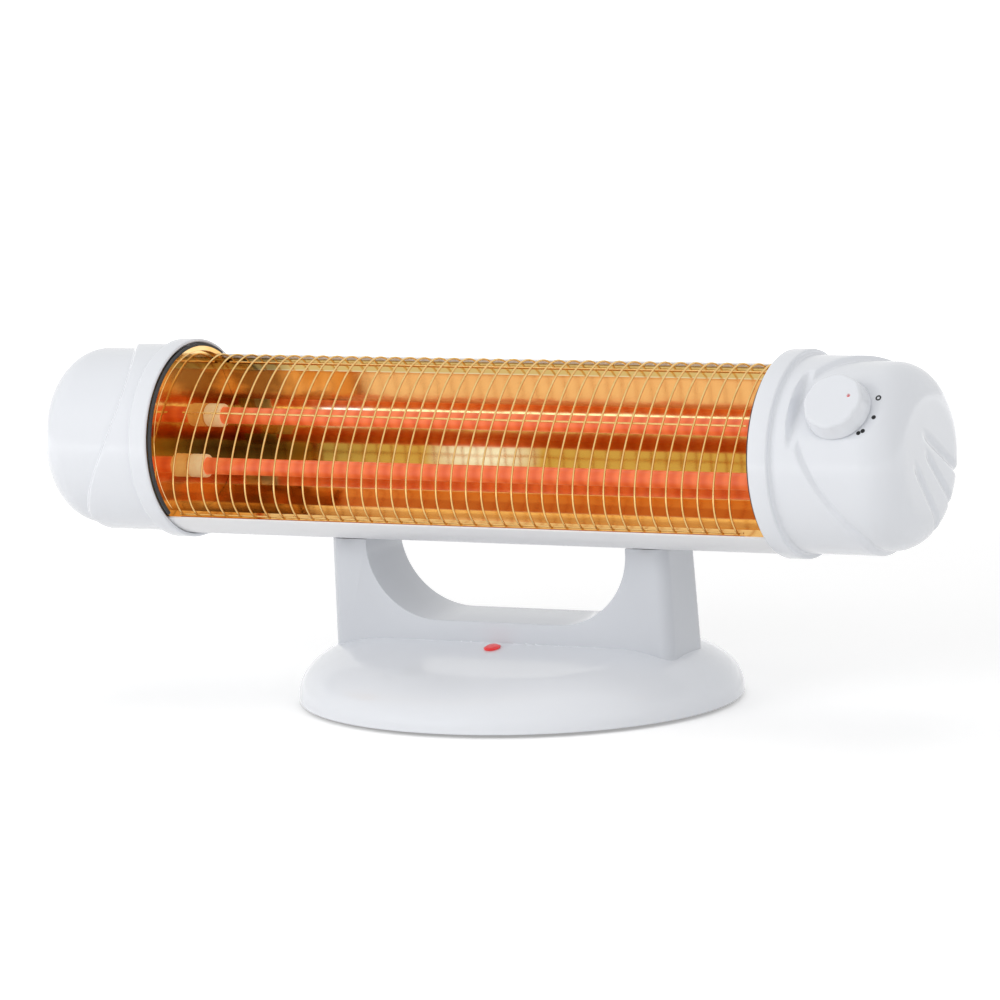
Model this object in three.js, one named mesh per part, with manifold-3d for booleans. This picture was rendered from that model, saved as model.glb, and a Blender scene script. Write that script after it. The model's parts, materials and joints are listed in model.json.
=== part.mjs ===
// Tabletop halogen heater: a half-cylinder drum with a gold reflector, two quartz tubes and a
// wire grille between two end caps, tilting on a U-shaped pedestal over an oval domed base.
// Millimetres, +Z up, the mouth faces -Y. The origin is on the floor under the middle of the base.
import * as THREE from "three";
import { mergeVertices } from "three/addons/utils/BufferGeometryUtils.js";
import Module from "manifold-3d";

const wasm = await Module();
wasm.setup();

// ---------------------------------------------------------------- driving dimensions

const airGap = 0.3; // gap between pieces that touch
const runningGap = 0.5; // gap round pieces that turn or slide
const wall = 2.5; // moulded plastic wall
const sheet = 1; // steel sheet

// drum: the head's own frame has its axis on X, the mouth facing -Y, and is tilted afterwards
const drumRadius = 57;
const mouthLength = 398; // between the mouths of the two caps
const mouthHalfAngle = 87; // half the opening of the housing, in degrees from straight ahead
const capGrip = 8; // length of the housing held inside each cap
const headTilt = 40; // the mouth looks up by this angle at rest
const tiltLowest = 10; // lowest and highest angle that the mouth can look up
const tiltHighest = 50;
const axisHeight = 155;
const axisForward = 20; // the drum's axis lies in front of the base's middle

// grille
const wireGauge = 1.2;
const wirePitch = 10;
const wireCount = 38;
const grilleFront = 31; // distance of each wire's front from the axis
const grilleHalf = 53.5; // half the grille's height
const grillePower = 2.4; // 2 is an ellipse, more is squarer
const grilleShift = -6; // the grille lies nearer the left end

// reflector and tubes
const reflectorSheet = 0.8;
const reflectorTrim = 0.4; // end gap to the side plates
const tubeSpread = 35; // distance between the two tubes
const tubeBack = 3; // tubes lie behind the axis
const tubeRadius = 5;
const tubeWall = 1;
const windingRadius = 3.6;
const plateSheet = 1.2;
const holderRadius = 7;
const holderLength = 11;
const holderNeck = 5; // radius of the neck that goes through the side plate
const neckLength = 9;
const tubeSocket = 8; // depth of the tube's seat in its holder
const retainerRadius = 8.5;
const retainerSheet = 1;
const leadRadius = 1;
const leadLength = 12;

// caps
const capLength = 85;
const capRound = 22; // rounding of the closed end
const collarRadius = 59.5;
const collarWidth = 12;
const raisedRadius = 56.2; // zone beside the collar
const bodyRadius = 53.3; // zone towards the closed end
const stepWidth = 2.4;
const stepWave = { nearest: 23.5, swing: 19.5, rate: 1.6 };
const gasketWidth = 3.2;
const gasketThick = 1.6;

// control
const knobAlong = 49; // knob axis from the cap's mouth
const knobRadius = 19;
const knobTopRadius = 17.5; // the knob tapers to its flat top
const knobHeight = 11.5;
const panelDistance = 50; // flat panel from the drum's axis
const panelHalfWidth = 18.5;
const panelStart = 15; // start of the panel's outline from the cap's mouth
const panelFlatFrom = 24; // the flat runs from here to there, also from the mouth
const panelFlatTo = 76; // it runs into the rounding of the end
const panelRamp = 8; // length of the slope down from the raised zone to the flat
const panelFade = 4; // length of the slope back up to the body zone
const shaftRadius = 3;
const bushRadius = 4.2;
const switchSize = 27;
const switchDepth = 19;
const nutRadius = 7;
const nutHeight = 2.2;
const dotRadius = 1.2;
const dotReach = 10; // pointer dot from the knob's axis
const dotAngle = 18; // at the off mark, above +X

// pedestal
const pedestalHalfWidth = 112; // at the top
const pedestalFlare = 2; // added on each side at the bottom
const pedestalDepth = 40; // at the top
const pedestalSplay = 4; // added to the depth at the bottom
const pedestalCorner = 8;
const archFloor = 49.5; // height of the bottom of the U
const archHalfWidth = 87; // at the top
const archFloorHalf = 40;
const archShoulder = 94; // height where the round corner ends
const padThick = 1;
const padWidth = 22;
const padReach = 16; // half the pad's angle round the drum, in degrees
const tiltScrewAngle = -110.5; // direction of the tilt screws, from straight ahead
const tiltScrewAlong = 100;
const tiltScrewRadius = 2;
const tiltHeadRadius = 4.5;
const tiltHeadHeight = 2.4;
const washerSheet = 0.8;
const washerRadius = 7;
const tiltScrewLength = 16;

// base
const baseHalfLength = 138;
const baseHalfDepth = 108;
const baseTop = 40;
const rimHeight = 3.8; // upright edge of the cover
const rimClear = 2.2; // cover's lower edge above the floor
const sideFullness = 4.5;
const frontFullness = 1.3;
const leafSlope = 9.9; // flat facet in front of the pedestal, degrees
const leafStart = 37.8; // height of the facet at the pedestal's front
const plateSink = 0.6; // plate above the cover's lower edge
const bottomSheet = 2;
const footRadius = 8;
const footAlong = 88;
const footAcross = 58;
const lampForward = 30;
const lampRadius = 4.2;
const lensRadius = 5;
const sleeveRadius = 4.2;
const sleeveHeight = 13;
const sleeveLength = 23;
const sleeveInner = baseHalfDepth - 0.5 - sleeveLength; // the sleeve's outer end is just inside the rim

const finish = {
  whitePlastic: { color: 0xf2f3f5, roughness: 0.22, metalness: 0 },
  greyPlastic: { color: 0xd9dbdf, roughness: 0.3, metalness: 0 },
  blackPlastic: { color: 0x1f1f20, roughness: 0.5, metalness: 0 },
  darkRubber: { color: 0x3a3b3d, roughness: 0.8, metalness: 0 },
  whitePaint: { color: 0xe9ebee, roughness: 0.35, metalness: 0.1 },
  goldSheet: { color: 0xe79a3c, roughness: 0.15, metalness: 1 },
  goldWire: { color: 0xe8b45c, roughness: 0.25, metalness: 1 },
  quartz: { color: 0xf07a52, roughness: 0.3, metalness: 0 },
  winding: { color: 0xd8582c, roughness: 0.6, metalness: 0.4 },
  ceramic: { color: 0xe6c493, roughness: 0.6, metalness: 0 },
  steel: { color: 0xb8babd, roughness: 0.35, metalness: 1 },
  brass: { color: 0xc9a24e, roughness: 0.35, metalness: 1 },
  redLens: { color: 0xe3262b, roughness: 0.2, metalness: 0 },
};

// ---------------------------------------------------------------- shared makers

const degrees = Math.PI / 180;
const object = new THREE.Group();
const head = new THREE.Group();
head.position.set(0, -axisForward, axisHeight);
head.rotation.x = -headTilt * degrees;
object.add(head);

// A closed geometry becomes a solid that can be joined and cut.
function solidOf(geometry) {
  const bare = geometry.clone();
  for (const name of Object.keys(bare.attributes)) {
    if (name !== "position") bare.deleteAttribute(name);
  }
  const welded = mergeVertices(bare, 1e-4);
  return new wasm.Manifold(
    new wasm.Mesh({
      numProp: 3,
      vertProperties: new Float32Array(welded.attributes.position.array),
      triVerts: new Uint32Array(welded.index.array),
    }),
  );
}

function geometryOf(solid) {
  const mesh = solid.getMesh();
  const geometry = new THREE.BufferGeometry();
  geometry.setAttribute("position", new THREE.BufferAttribute(new Float32Array(mesh.vertProperties), 3));
  geometry.setIndex(new THREE.BufferAttribute(new Uint32Array(mesh.triVerts), 1));
  geometry.computeVertexNormals();
  return geometry;
}

function joined(geometries) {
  return geometries.map(solidOf).reduce((sum, next) => sum.add(next));
}

function place(parent, name, geometry, look, position = [0, 0, 0]) {
  const mesh = new THREE.Mesh(geometry, new THREE.MeshStandardMaterial(finish[look]));
  mesh.name = name;
  mesh.position.set(...position);
  parent.add(mesh);
  return mesh;
}

const shapeToAcross = new THREE.Matrix4().makeBasis(
  new THREE.Vector3(0, 1, 0),
  new THREE.Vector3(0, 0, 1),
  new THREE.Vector3(1, 0, 0),
);
const shapeToFront = new THREE.Matrix4().makeBasis(
  new THREE.Vector3(1, 0, 0),
  new THREE.Vector3(0, 0, 1),
  new THREE.Vector3(0, -1, 0),
);

// A shape drawn in (y, z) runs along X from one place to another.
function barAlongX(shape, from, to, curveSegments = 24) {
  const bar = new THREE.ExtrudeGeometry(shape, { depth: to - from, bevelEnabled: false, curveSegments });
  return bar.applyMatrix4(shapeToAcross).translate(from, 0, 0);
}

// A shape drawn in (x, z) runs forward, from y = back to y = -front.
function slabAlongY(shape, back, front, curveSegments = 12) {
  const slab = new THREE.ExtrudeGeometry(shape, { depth: back + front, bevelEnabled: false, curveSegments });
  return slab.applyMatrix4(shapeToFront).translate(0, back, 0);
}

// A turned piece: pairs of [radius, place along the axis], which is +Z until it is turned.
function turned(profile, segments = 32) {
  return new THREE.LatheGeometry(
    profile.map(([radius, along]) => new THREE.Vector2(radius, along)),
    segments,
  ).rotateX(Math.PI / 2);
}

// The same with its axis on +X.
function turnedAlongX(profile, segments = 32) {
  return turned(profile, segments).rotateY(Math.PI / 2);
}

function ringProfile(inner, outer, from, to) {
  return [
    [inner, from],
    [outer, from],
    [outer, to],
    [inner, to],
    [inner, from],
  ];
}

function rodProfile(radius, from, to) {
  return [
    [0, from],
    [radius, from],
    [radius, to],
    [0, to],
  ];
}

// A point round the drum's axis, in (y, z): 0 degrees is straight ahead (-Y), 90 is up.
function round(angle, radius) {
  return new THREE.Vector2(-radius * Math.cos(angle * degrees), radius * Math.sin(angle * degrees));
}

// A stretch of ring round the drum's axis, in (y, z), between two angles.
function ringSector(inner, outer, from, to) {
  const steps = Math.max(2, Math.ceil(Math.abs(to - from) / 5));
  const points = [];
  for (let i = 0; i <= steps; i++) points.push(round(from + ((to - from) * i) / steps, outer));
  for (let i = steps; i >= 0; i--) points.push(round(from + ((to - from) * i) / steps, inner));
  return new THREE.Shape(points);
}

// A closed skin through rings of points; the first and last ring are closed by a middle point.
function skinOfRings(rings) {
  const count = rings[0].length;
  const positions = [];
  const faces = [];
  const middle = (ring) =>
    ring.reduce((sum, p) => sum.add(p), new THREE.Vector3()).multiplyScalar(1 / ring.length);
  rings.forEach((ring) => ring.forEach((p) => positions.push(p.x, p.y, p.z)));
  rings.slice(1).forEach((_, r) => {
    for (let i = 0; i < count; i++) {
      const j = (i + 1) % count;
      const [a, b] = [r * count + i, r * count + j];
      faces.push(a, b, b + count, a, b + count, a + count);
    }
  });
  for (const [r, flip] of [
    [0, true],
    [rings.length - 1, false],
  ]) {
    const centre = positions.length / 3;
    const p = middle(rings[r].map((q) => q.clone()));
    positions.push(p.x, p.y, p.z);
    for (let i = 0; i < count; i++) {
      const [a, b] = [r * count + i, r * count + ((i + 1) % count)];
      faces.push(...(flip ? [centre, b, a] : [centre, a, b]));
    }
  }
  const skin = new THREE.BufferGeometry();
  skin.setAttribute("position", new THREE.Float32BufferAttribute(positions, 3));
  skin.setIndex(faces);
  return facingOut(skin);
}

function facingOut(skin) {
  const p = skin.attributes.position;
  const [a, b, c] = [new THREE.Vector3(), new THREE.Vector3(), new THREE.Vector3()];
  let volume = 0;
  for (let i = 0; i < skin.index.count; i += 3) {
    a.fromBufferAttribute(p, skin.index.getX(i));
    b.fromBufferAttribute(p, skin.index.getX(i + 1));
    c.fromBufferAttribute(p, skin.index.getX(i + 2));
    volume += a.dot(b.cross(c));
  }
  if (volume < 0) skin.setIndex([...skin.index.array].reverse());
  return skin;
}

// ---------------------------------------------------------------- drum: housing

const halfMouth = mouthLength / 2;
const housingEnd = halfMouth + capGrip;
const housingInside = drumRadius - sheet;

function housingShape() {
  const points = [];
  const steps = 36;
  const open = 360 - 2 * mouthHalfAngle;
  for (let i = 0; i <= steps; i++) points.push(round(mouthHalfAngle + (open * i) / steps, drumRadius));
  for (let i = steps; i >= 0; i--) points.push(round(mouthHalfAngle + (open * i) / steps, housingInside));
  return new THREE.Shape(points);
}

function housing() {
  let body = solidOf(barAlongX(housingShape(), -housingEnd, housingEnd));
  const slotMargin = (tiltScrewRadius + runningGap) / drumRadius / degrees;
  const slotFrom = tiltScrewAngle - tiltHighest - slotMargin;
  const slotTo = tiltScrewAngle - tiltLowest + slotMargin;
  const slotHalf = tiltScrewRadius + runningGap;
  for (const side of [-1, 1]) {
    const middle = side * tiltScrewAlong;
    const slot = ringSector(drumRadius - 3, drumRadius + 3, slotFrom, slotTo);
    body = body.subtract(solidOf(barAlongX(slot, middle - slotHalf, middle + slotHalf)));
  }
  const ventCount = 11;
  const ventPitch = 32;
  const ventLength = 20;
  const ventAngles = [146, 154];
  const ventHalfAngle = 1.6;
  for (const angle of ventAngles) {
    const vent = ringSector(drumRadius - 3, drumRadius + 3, angle - ventHalfAngle, angle + ventHalfAngle);
    for (let i = 0; i < ventCount; i++) {
      const middle = (i - (ventCount - 1) / 2) * ventPitch;
      body = body.subtract(solidOf(barAlongX(vent, middle - ventLength / 2, middle + ventLength / 2)));
    }
  }
  return geometryOf(body);
}

place(head, "housing_shell", housing(), "whitePaint");

// ---------------------------------------------------------------- drum: reflector

// Inner face of the trough, in (forward, up), from the upper edge round the back to the middle.
const troughHalf = [
  [0, 55],
  [-2, 49],
  [-22, 40.4],
  [-36, 24],
  [-42, 8],
];

function reflectorShape() {
  const upper = troughHalf.map(([forward, up]) => new THREE.Vector2(-forward, up));
  const lower = [...upper].reverse().map((p) => new THREE.Vector2(p.x, -p.y));
  const inner = [...upper, ...lower];
  const outer = inner.map((p, i) => {
    const before = inner[Math.max(i - 1, 0)];
    const after = inner[Math.min(i + 1, inner.length - 1)];
    const along = after.clone().sub(before).normalize();
    return new THREE.Vector2(p.x - along.y * reflectorSheet, p.y + along.x * reflectorSheet);
  });
  return new THREE.Shape([...inner, ...outer.reverse()]);
}

const reflectorEnd = halfMouth - reflectorTrim;
place(head, "reflector", barAlongX(reflectorShape(), -reflectorEnd, reflectorEnd), "goldSheet");

// ---------------------------------------------------------------- drum: side plates, tubes

const plateInner = halfMouth + airGap;
const plateOuter = plateInner + plateSheet;
const plateRadius = housingInside - airGap;
const tubePlaces = [
  ["upper", tubeSpread / 2],
  ["lower", -tubeSpread / 2],
];

function sidePlate(from) {
  let plate = solidOf(turnedAlongX(rodProfile(plateRadius, from, from + plateSheet), 36));
  const drill = (radius, back, up) => {
    const hole = turnedAlongX(rodProfile(radius, from - 1, from + plateSheet + 1), 20);
    plate = plate.subtract(solidOf(hole.translate(0, back, up)));
  };
  for (const [, up] of tubePlaces) drill(holderNeck + airGap, tubeBack, up);
  drill(4, plateRadius - 7, 0);
  return geometryOf(plate);
}

function gasketShape() {
  const reach = mouthHalfAngle - 3;
  return ringSector(drumRadius - gasketWidth, drumRadius - airGap, -reach, reach);
}

const tubeStart = plateInner - airGap - holderLength + tubeSocket - airGap;

function addTubes() {
  for (const [level, up] of tubePlaces) {
    const seat = [0, tubeBack, up];
    const bore = tubeRadius - tubeWall;
    const tube = ringProfile(bore, tubeRadius, -tubeStart, tubeStart);
    place(head, `quartz_tube_${level}`, turnedAlongX(tube, 16), "quartz", seat);
    const windingEnd = tubeStart - 1;
    const winding = rodProfile(windingRadius, -windingEnd, windingEnd);
    place(head, `heating_coil_${level}`, turnedAlongX(winding, 12), "winding", seat);
    for (const [name, side] of [
      ["left", -1],
      ["right", 1],
    ]) {
      const face = plateInner - airGap;
      const inner = face - holderLength;
      const neckEnd = plateOuter + neckLength;
      const socketFloor = inner + tubeSocket;
      const leadHole = leadRadius + airGap;
      const holder = turnedAlongX(
        [
          [tubeRadius + airGap, inner],
          [holderRadius - 0.8, inner],
          [holderRadius, inner + 0.8],
          [holderRadius, face],
          [holderNeck, face],
          [holderNeck, neckEnd],
          [leadHole, neckEnd],
          [leadHole, socketFloor],
          [tubeRadius + airGap, socketFloor],
          [tubeRadius + airGap, inner],
        ],
        16,
      );
      const retainer = turnedAlongX(
        ringProfile(
          holderNeck + airGap,
          retainerRadius,
          plateOuter + airGap,
          plateOuter + airGap + retainerSheet,
        ),
        16,
      );
      const leadFrom = windingEnd + airGap;
      const lead = turnedAlongX(rodProfile(leadRadius, leadFrom, neckEnd + leadLength), 10);
      const turn = side < 0 ? Math.PI : 0;
      for (const [label, piece, look] of [
        [`tube_holder_${level}_${name}`, holder, "ceramic"],
        [`holder_ring_${level}_${name}`, retainer, "steel"],
        [`element_lead_${level}_${name}`, lead, "steel"],
      ]) {
        place(head, label, piece.rotateZ(turn), look, seat);
      }
    }
  }
}

for (const [name, side] of [
  ["left", -1],
  ["right", 1],
]) {
  const from = side > 0 ? plateInner : -plateOuter;
  place(head, `side_plate_${name}`, sidePlate(from), "goldSheet");
  const gasketFrom = side > 0 ? halfMouth - gasketThick : -halfMouth;
  const gasket = barAlongX(gasketShape(), gasketFrom, gasketFrom + gasketThick);
  place(head, `mouth_gasket_${name}`, gasket, "darkRubber");
}
addTubes();

// ---------------------------------------------------------------- drum: grille

// A point of a wire's centre line, in (forward, up), at a share from its lower end to its upper.
// Both ends meet the reflector's edges, just inside the lips.
function grillePoint(share) {
  const turn = Math.PI * share;
  const forward = grilleFront * Math.sin(turn) ** (2 / grillePower);
  const upShare = Math.abs(Math.cos(turn)) ** (2 / grillePower);
  return [forward, -Math.sign(Math.cos(turn)) * grilleHalf * upShare];
}

function wireSection(radius) {
  const corners = [];
  for (let i = 0; i < 4; i++) {
    const turn = (i / 4 + 1 / 8) * 2 * Math.PI;
    corners.push(new THREE.Vector2(radius * Math.cos(turn), radius * Math.sin(turn)));
  }
  return new THREE.Shape(corners);
}

function grille() {
  const radius = wireGauge / 2;
  const points = [];
  const steps = 12;
  for (let i = 0; i <= steps; i++) {
    const [forward, up] = grillePoint(i / steps);
    points.push(new THREE.Vector3(0, -forward, up));
  }
  const path = new THREE.CatmullRomCurve3(points, false, "centripetal");
  const bow = new THREE.ExtrudeGeometry(wireSection(radius), { steps, extrudePath: path, bevelEnabled: false });
  const bowSolid = solidOf(bow);
  const middle = (wireCount - 1) / 2;
  const solids = [];
  for (let i = 0; i < wireCount; i++) {
    solids.push(bowSolid.translate([grilleShift + (i - middle) * wirePitch, 0, 0]));
  }
  const overhang = 3;
  const half = middle * wirePitch + overhang;
  const weldDepth = wireGauge * 0.7;
  const edgeUp = grilleHalf - weldDepth;
  for (const [forward, up] of [
    [radius, -edgeUp],
    [grilleFront - weldDepth, 0],
    [radius, edgeUp],
  ]) {
    const bar = barAlongX(wireSection(radius), grilleShift - half, grilleShift + half);
    solids.push(solidOf(bar.translate(0, -forward, up)));
  }
  return geometryOf(wasm.Manifold.union(solids));
}

place(head, "wire_grille", grille(), "goldWire");

// ---------------------------------------------------------------- end caps

// Distance from the cap's mouth to the wavy step between its two zones.
function waveAt(angle) {
  const turn = Math.min(Math.abs(angle) * stepWave.rate, 180);
  const along = stepWave.nearest + stepWave.swing * (1 - Math.cos(turn * degrees));
  return Math.min(along, capLength - capRound - stepWidth);
}

const ringCount = 38;
const roundSteps = 5;

function capRings(side, profileAt) {
  const stations = profileAt(0).length;
  const rings = [];
  for (let s = 0; s < stations; s++) {
    const ring = [];
    for (let i = 0; i < ringCount; i++) {
      const angle = (360 * i) / ringCount - 180;
      const [along, radius] = profileAt(angle)[s];
      const p = round(angle, radius);
      ring.push(new THREE.Vector3(side * (halfMouth + along), p.x, p.y));
    }
    rings.push(ring);
  }
  return rings;
}

function roundedEnd(length, radius, rounding) {
  const points = [];
  for (let i = 0; i <= roundSteps; i++) {
    const turn = ((90 * i) / roundSteps) * degrees;
    points.push([
      length - rounding + rounding * Math.sin(turn),
      radius - rounding + rounding * Math.cos(turn),
    ]);
  }
  return points;
}

const collarEdge = 0.8;
function capOutside(angle) {
  const step = waveAt(angle);
  return [
    [0, collarRadius - collarEdge],
    [collarEdge, collarRadius],
    [collarWidth - collarEdge, collarRadius],
    [collarWidth, collarRadius - collarEdge],
    [collarWidth + 1, raisedRadius],
    [step - stepWidth / 2, raisedRadius],
    [step + stepWidth / 2, bodyRadius],
    ...roundedEnd(capLength, bodyRadius, capRound),
  ];
}

const capSeat = capGrip + airGap;
const capBore = drumRadius + airGap;
function capInside() {
  const inner = bodyRadius - wall;
  return [
    [-1, capBore],
    [capSeat, capBore],
    [capSeat, inner + 2],
    [capSeat + 4, inner],
    ...roundedEnd(capLength - wall, inner, capRound - wall),
  ];
}

function cap(side) {
  const outside = solidOf(skinOfRings(capRings(side, capOutside)));
  const inside = solidOf(skinOfRings(capRings(side, capInside)));
  return { outside, inside };
}

// The panel's outline in (x, z), with the panel's front on -Y.
function panelShape(extra) {
  const start = halfMouth + panelStart - extra;
  const end = halfMouth + panelFlatTo + panelFade + extra;
  const half = panelHalfWidth + extra;
  const corner = 12;
  return new THREE.Shape([
    new THREE.Vector2(start + corner, -half),
    new THREE.Vector2(end, -half),
    new THREE.Vector2(end, half),
    new THREE.Vector2(start + corner, half),
    new THREE.Vector2(start + corner / 3.5, half * 0.72),
    new THREE.Vector2(start, half * 0.3),
    new THREE.Vector2(start, -half * 0.3),
    new THREE.Vector2(start + corner / 3.5, -half * 0.72),
  ]);
}

const knobPlace = halfMouth + knobAlong;
const far = drumRadius + 20;

// A wedge in front of the panel: its ends slope up from the flat to both zones of the cap.
function panelWedge() {
  const rise = far - panelDistance;
  const ramp = (panelRamp * rise) / (raisedRadius - panelDistance);
  const fade = (panelFade * rise) / (bodyRadius - panelDistance);
  const side = new THREE.Shape([
    new THREE.Vector2(halfMouth + panelFlatFrom, -panelDistance),
    new THREE.Vector2(halfMouth + panelFlatFrom - ramp, -far),
    new THREE.Vector2(halfMouth + panelFlatTo + fade, -far),
    new THREE.Vector2(halfMouth + panelFlatTo, -panelDistance),
  ]);
  const depth = 2 * panelHalfWidth + 2;
  const wedge = new THREE.ExtrudeGeometry(side, { depth, bevelEnabled: false });
  return solidOf(wedge.translate(0, 0, -depth / 2));
}

function rightCap() {
  const { outside, inside } = cap(1);
  const pocket = solidOf(slabAlongY(panelShape(0), -panelDistance, far)).intersect(panelWedge());
  const backing = solidOf(slabAlongY(panelShape(wall), -(panelDistance - wall), far));
  const hole = turned(rodProfile(bushRadius + airGap, panelDistance - 8, far), 24);
  const bushHole = solidOf(hole.rotateX(Math.PI / 2).translate(knobPlace, 0, 0));
  return outside.subtract(inside.subtract(backing)).subtract(pocket).subtract(bushHole);
}

function leftCap() {
  const { outside, inside } = cap(-1);
  return outside.subtract(inside);
}

// Radial screws fix each cap's collar to the housing, behind the mouth.
const capScrewRadius = 1.5;
const capScrewHead = 2.6;
const capScrewAngles = [140, 220];
const capScrewAlong = capGrip / 2;

function capScrew() {
  const headFrom = collarRadius + airGap;
  return turned(
    [
      [0, housingInside - 3],
      [capScrewRadius, housingInside - 3],
      [capScrewRadius, headFrom],
      [capScrewHead, headFrom],
      [capScrewHead * 0.8, headFrom + 1.2],
      [0, headFrom + 1.5],
    ],
    16,
  );
}

// Turns a piece that points up +Z to point out of the drum at an angle, at a place along X.
function pointOut(geometry, angle, along) {
  return geometry.rotateX((90 - angle) * degrees).translate(along, 0, 0);
}

function withScrewHoles(body, side) {
  let cut = body;
  for (const angle of capScrewAngles) {
    const drill = turned(rodProfile(capScrewRadius + airGap, housingInside - 5, far), 16);
    cut = cut.subtract(solidOf(pointOut(drill, angle, side * (halfMouth + capScrewAlong))));
  }
  return cut;
}

const shell = head.getObjectByName("housing_shell");
shell.geometry = geometryOf(withScrewHoles(withScrewHoles(solidOf(shell.geometry), 1), -1));
place(head, "left_end_cap", geometryOf(withScrewHoles(leftCap(), -1)), "whitePlastic");
place(head, "right_end_cap", geometryOf(withScrewHoles(rightCap(), 1)), "whitePlastic");
for (const [name, side] of [
  ["left", -1],
  ["right", 1],
]) {
  capScrewAngles.forEach((angle, i) => {
    const level = ["top", "bottom"][i];
    const screw = pointOut(capScrew(), angle, side * (halfMouth + capScrewAlong));
    place(head, `cap_screw_${name}_${level}`, screw, "steel");
  });
}

// ---------------------------------------------------------------- control: switch and knob

// These are drawn pointing up +Z from the drum's axis and then turned to point out of the panel.
function facingPanel(geometry) {
  return geometry.rotateX(Math.PI / 2).translate(knobPlace, 0, 0);
}

const panelBack = panelDistance - wall;
const shaftTip = panelDistance + knobHeight - 4;
const nutFrom = panelDistance + airGap;
const knobFrom = panelDistance + runningGap;
const knobTop = knobFrom + knobHeight;
const shaftFoot = panelBack - 3;

function switchBody() {
  const block = new THREE.BoxGeometry(switchSize, switchSize, switchDepth);
  const topFace = panelBack - airGap;
  block.translate(0, 0, topFace - switchDepth / 2);
  const bush = turned(rodProfile(bushRadius, topFace - 1, nutFrom + nutHeight), 24);
  const bore = turned(rodProfile(shaftRadius + airGap, shaftFoot - airGap, far), 20);
  return geometryOf(solidOf(block).add(solidOf(bush)).subtract(solidOf(bore)));
}

function hexNut() {
  const nut = new THREE.CylinderGeometry(nutRadius, nutRadius, nutHeight, 6);
  nut.rotateX(Math.PI / 2).translate(0, 0, nutFrom + nutHeight / 2);
  const bore = turned(rodProfile(bushRadius + airGap, nutFrom - 1, nutFrom + nutHeight + 1), 24);
  return geometryOf(solidOf(nut).subtract(solidOf(bore)));
}

function knobBody() {
  const cavityTop = nutFrom + nutHeight + 1.2;
  const cavityRadius = nutRadius + 1.5;
  const boreTop = shaftTip + airGap;
  const boreRadius = shaftRadius + airGap;
  return turned(
    [
      [cavityRadius, knobFrom],
      [knobRadius - 0.6, knobFrom],
      [knobRadius, knobFrom + 1],
      [knobTopRadius, knobTop - 2.4],
      [knobTopRadius - 0.8, knobTop - 1],
      [knobTopRadius - 2.6, knobTop - 0.3],
      [0, knobTop],
      [0, boreTop],
      [boreRadius, boreTop],
      [boreRadius, cavityTop],
      [cavityRadius, cavityTop],
      [cavityRadius, knobFrom],
    ],
    28,
  );
}

const dotSeat = knobTop - 1.6;
function dotPost(radius, from, to) {
  const x = dotReach * Math.cos(dotAngle * degrees);
  const up = dotReach * Math.sin(dotAngle * degrees);
  return turned(rodProfile(radius, from, to), 16).translate(x, up, 0);
}

function knobWithDotSeat() {
  return geometryOf(solidOf(knobBody()).subtract(solidOf(dotPost(dotRadius + 0.1, dotSeat, far))));
}

place(head, "rotary_switch", facingPanel(switchBody()), "blackPlastic");
place(head, "switch_nut", facingPanel(hexNut()), "steel");
const shaftRod = turned(rodProfile(shaftRadius, shaftFoot, shaftTip), 20);
place(head, "switch_shaft", facingPanel(shaftRod), "brass");
place(head, "control_knob", facingPanel(knobWithDotSeat()), "whitePlastic");
place(head, "knob_dot", facingPanel(dotPost(dotRadius, dotSeat + 0.1, knobTop - 0.5)), "redLens");

// ---------------------------------------------------------------- base cover

// Height of the cover's outside over a point that lies at a share of the way out to the rim.
function domeRise(share, turn) {
  const sideways = Math.cos(turn) ** 2;
  const fullness = frontFullness + (sideFullness - frontFullness) * sideways;
  return Math.sqrt(Math.max(0, 1 - share ** fullness));
}

// Rings of the dome, from its rim up to its top; inset makes the inside of the wall.
function domeRings(inset, lift) {
  const shares = [1, 0.992, 0.97, 0.93, 0.87, 0.78, 0.66, 0.5, 0.32, 0.14];
  const count = 44;
  const rimTop = rimClear + rimHeight;
  const rise = baseTop - rimTop - inset;
  const ringAt = (share, height) => {
    const ring = [];
    for (let i = 0; i < count; i++) {
      const turn = (2 * Math.PI * i) / count;
      const x = (baseHalfLength - inset) * share * Math.cos(turn);
      const y = (baseHalfDepth - inset) * share * Math.sin(turn);
      ring.push(new THREE.Vector3(x, y, height(turn)));
    }
    return ring;
  };
  const rings = [ringAt(1, () => rimClear + lift - (inset > 0 ? 5 : 0))];
  for (const share of shares) {
    rings.push(ringAt(share, (turn) => rimTop + lift + rise * domeRise(share, turn)));
  }
  return rings;
}

// A block above the sloping facet in front of the pedestal.
function aboveLeaf(lift) {
  const start = pedestalDepth / 2;
  const run = baseHalfDepth + 10;
  const drop = run * Math.tan(leafSlope * degrees);
  const z = leafStart + lift;
  const side = new THREE.Shape([
    new THREE.Vector2(-start, z),
    new THREE.Vector2(-start - run, z - drop),
    new THREE.Vector2(-start - run, baseTop + 30),
    new THREE.Vector2(-start, baseTop + 30),
  ]);
  return solidOf(barAlongX(side, -baseHalfLength, baseHalfLength));
}

function domeSolid(inset, lift) {
  const dome = solidOf(skinOfRings(domeRings(inset, lift)));
  return dome.subtract(aboveLeaf(lift - inset));
}

const lampSlope = leafSlope * degrees;
const lampHeight = leafStart - (lampForward - pedestalDepth / 2) * Math.tan(lampSlope);
function onLeaf(geometry) {
  return geometry.rotateX(lampSlope).translate(0, -lampForward, lampHeight);
}

const pedestalScrewAlong = 60;
const pedestalScrewRadius = 2;
const pedestalBossRadius = 5;

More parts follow.
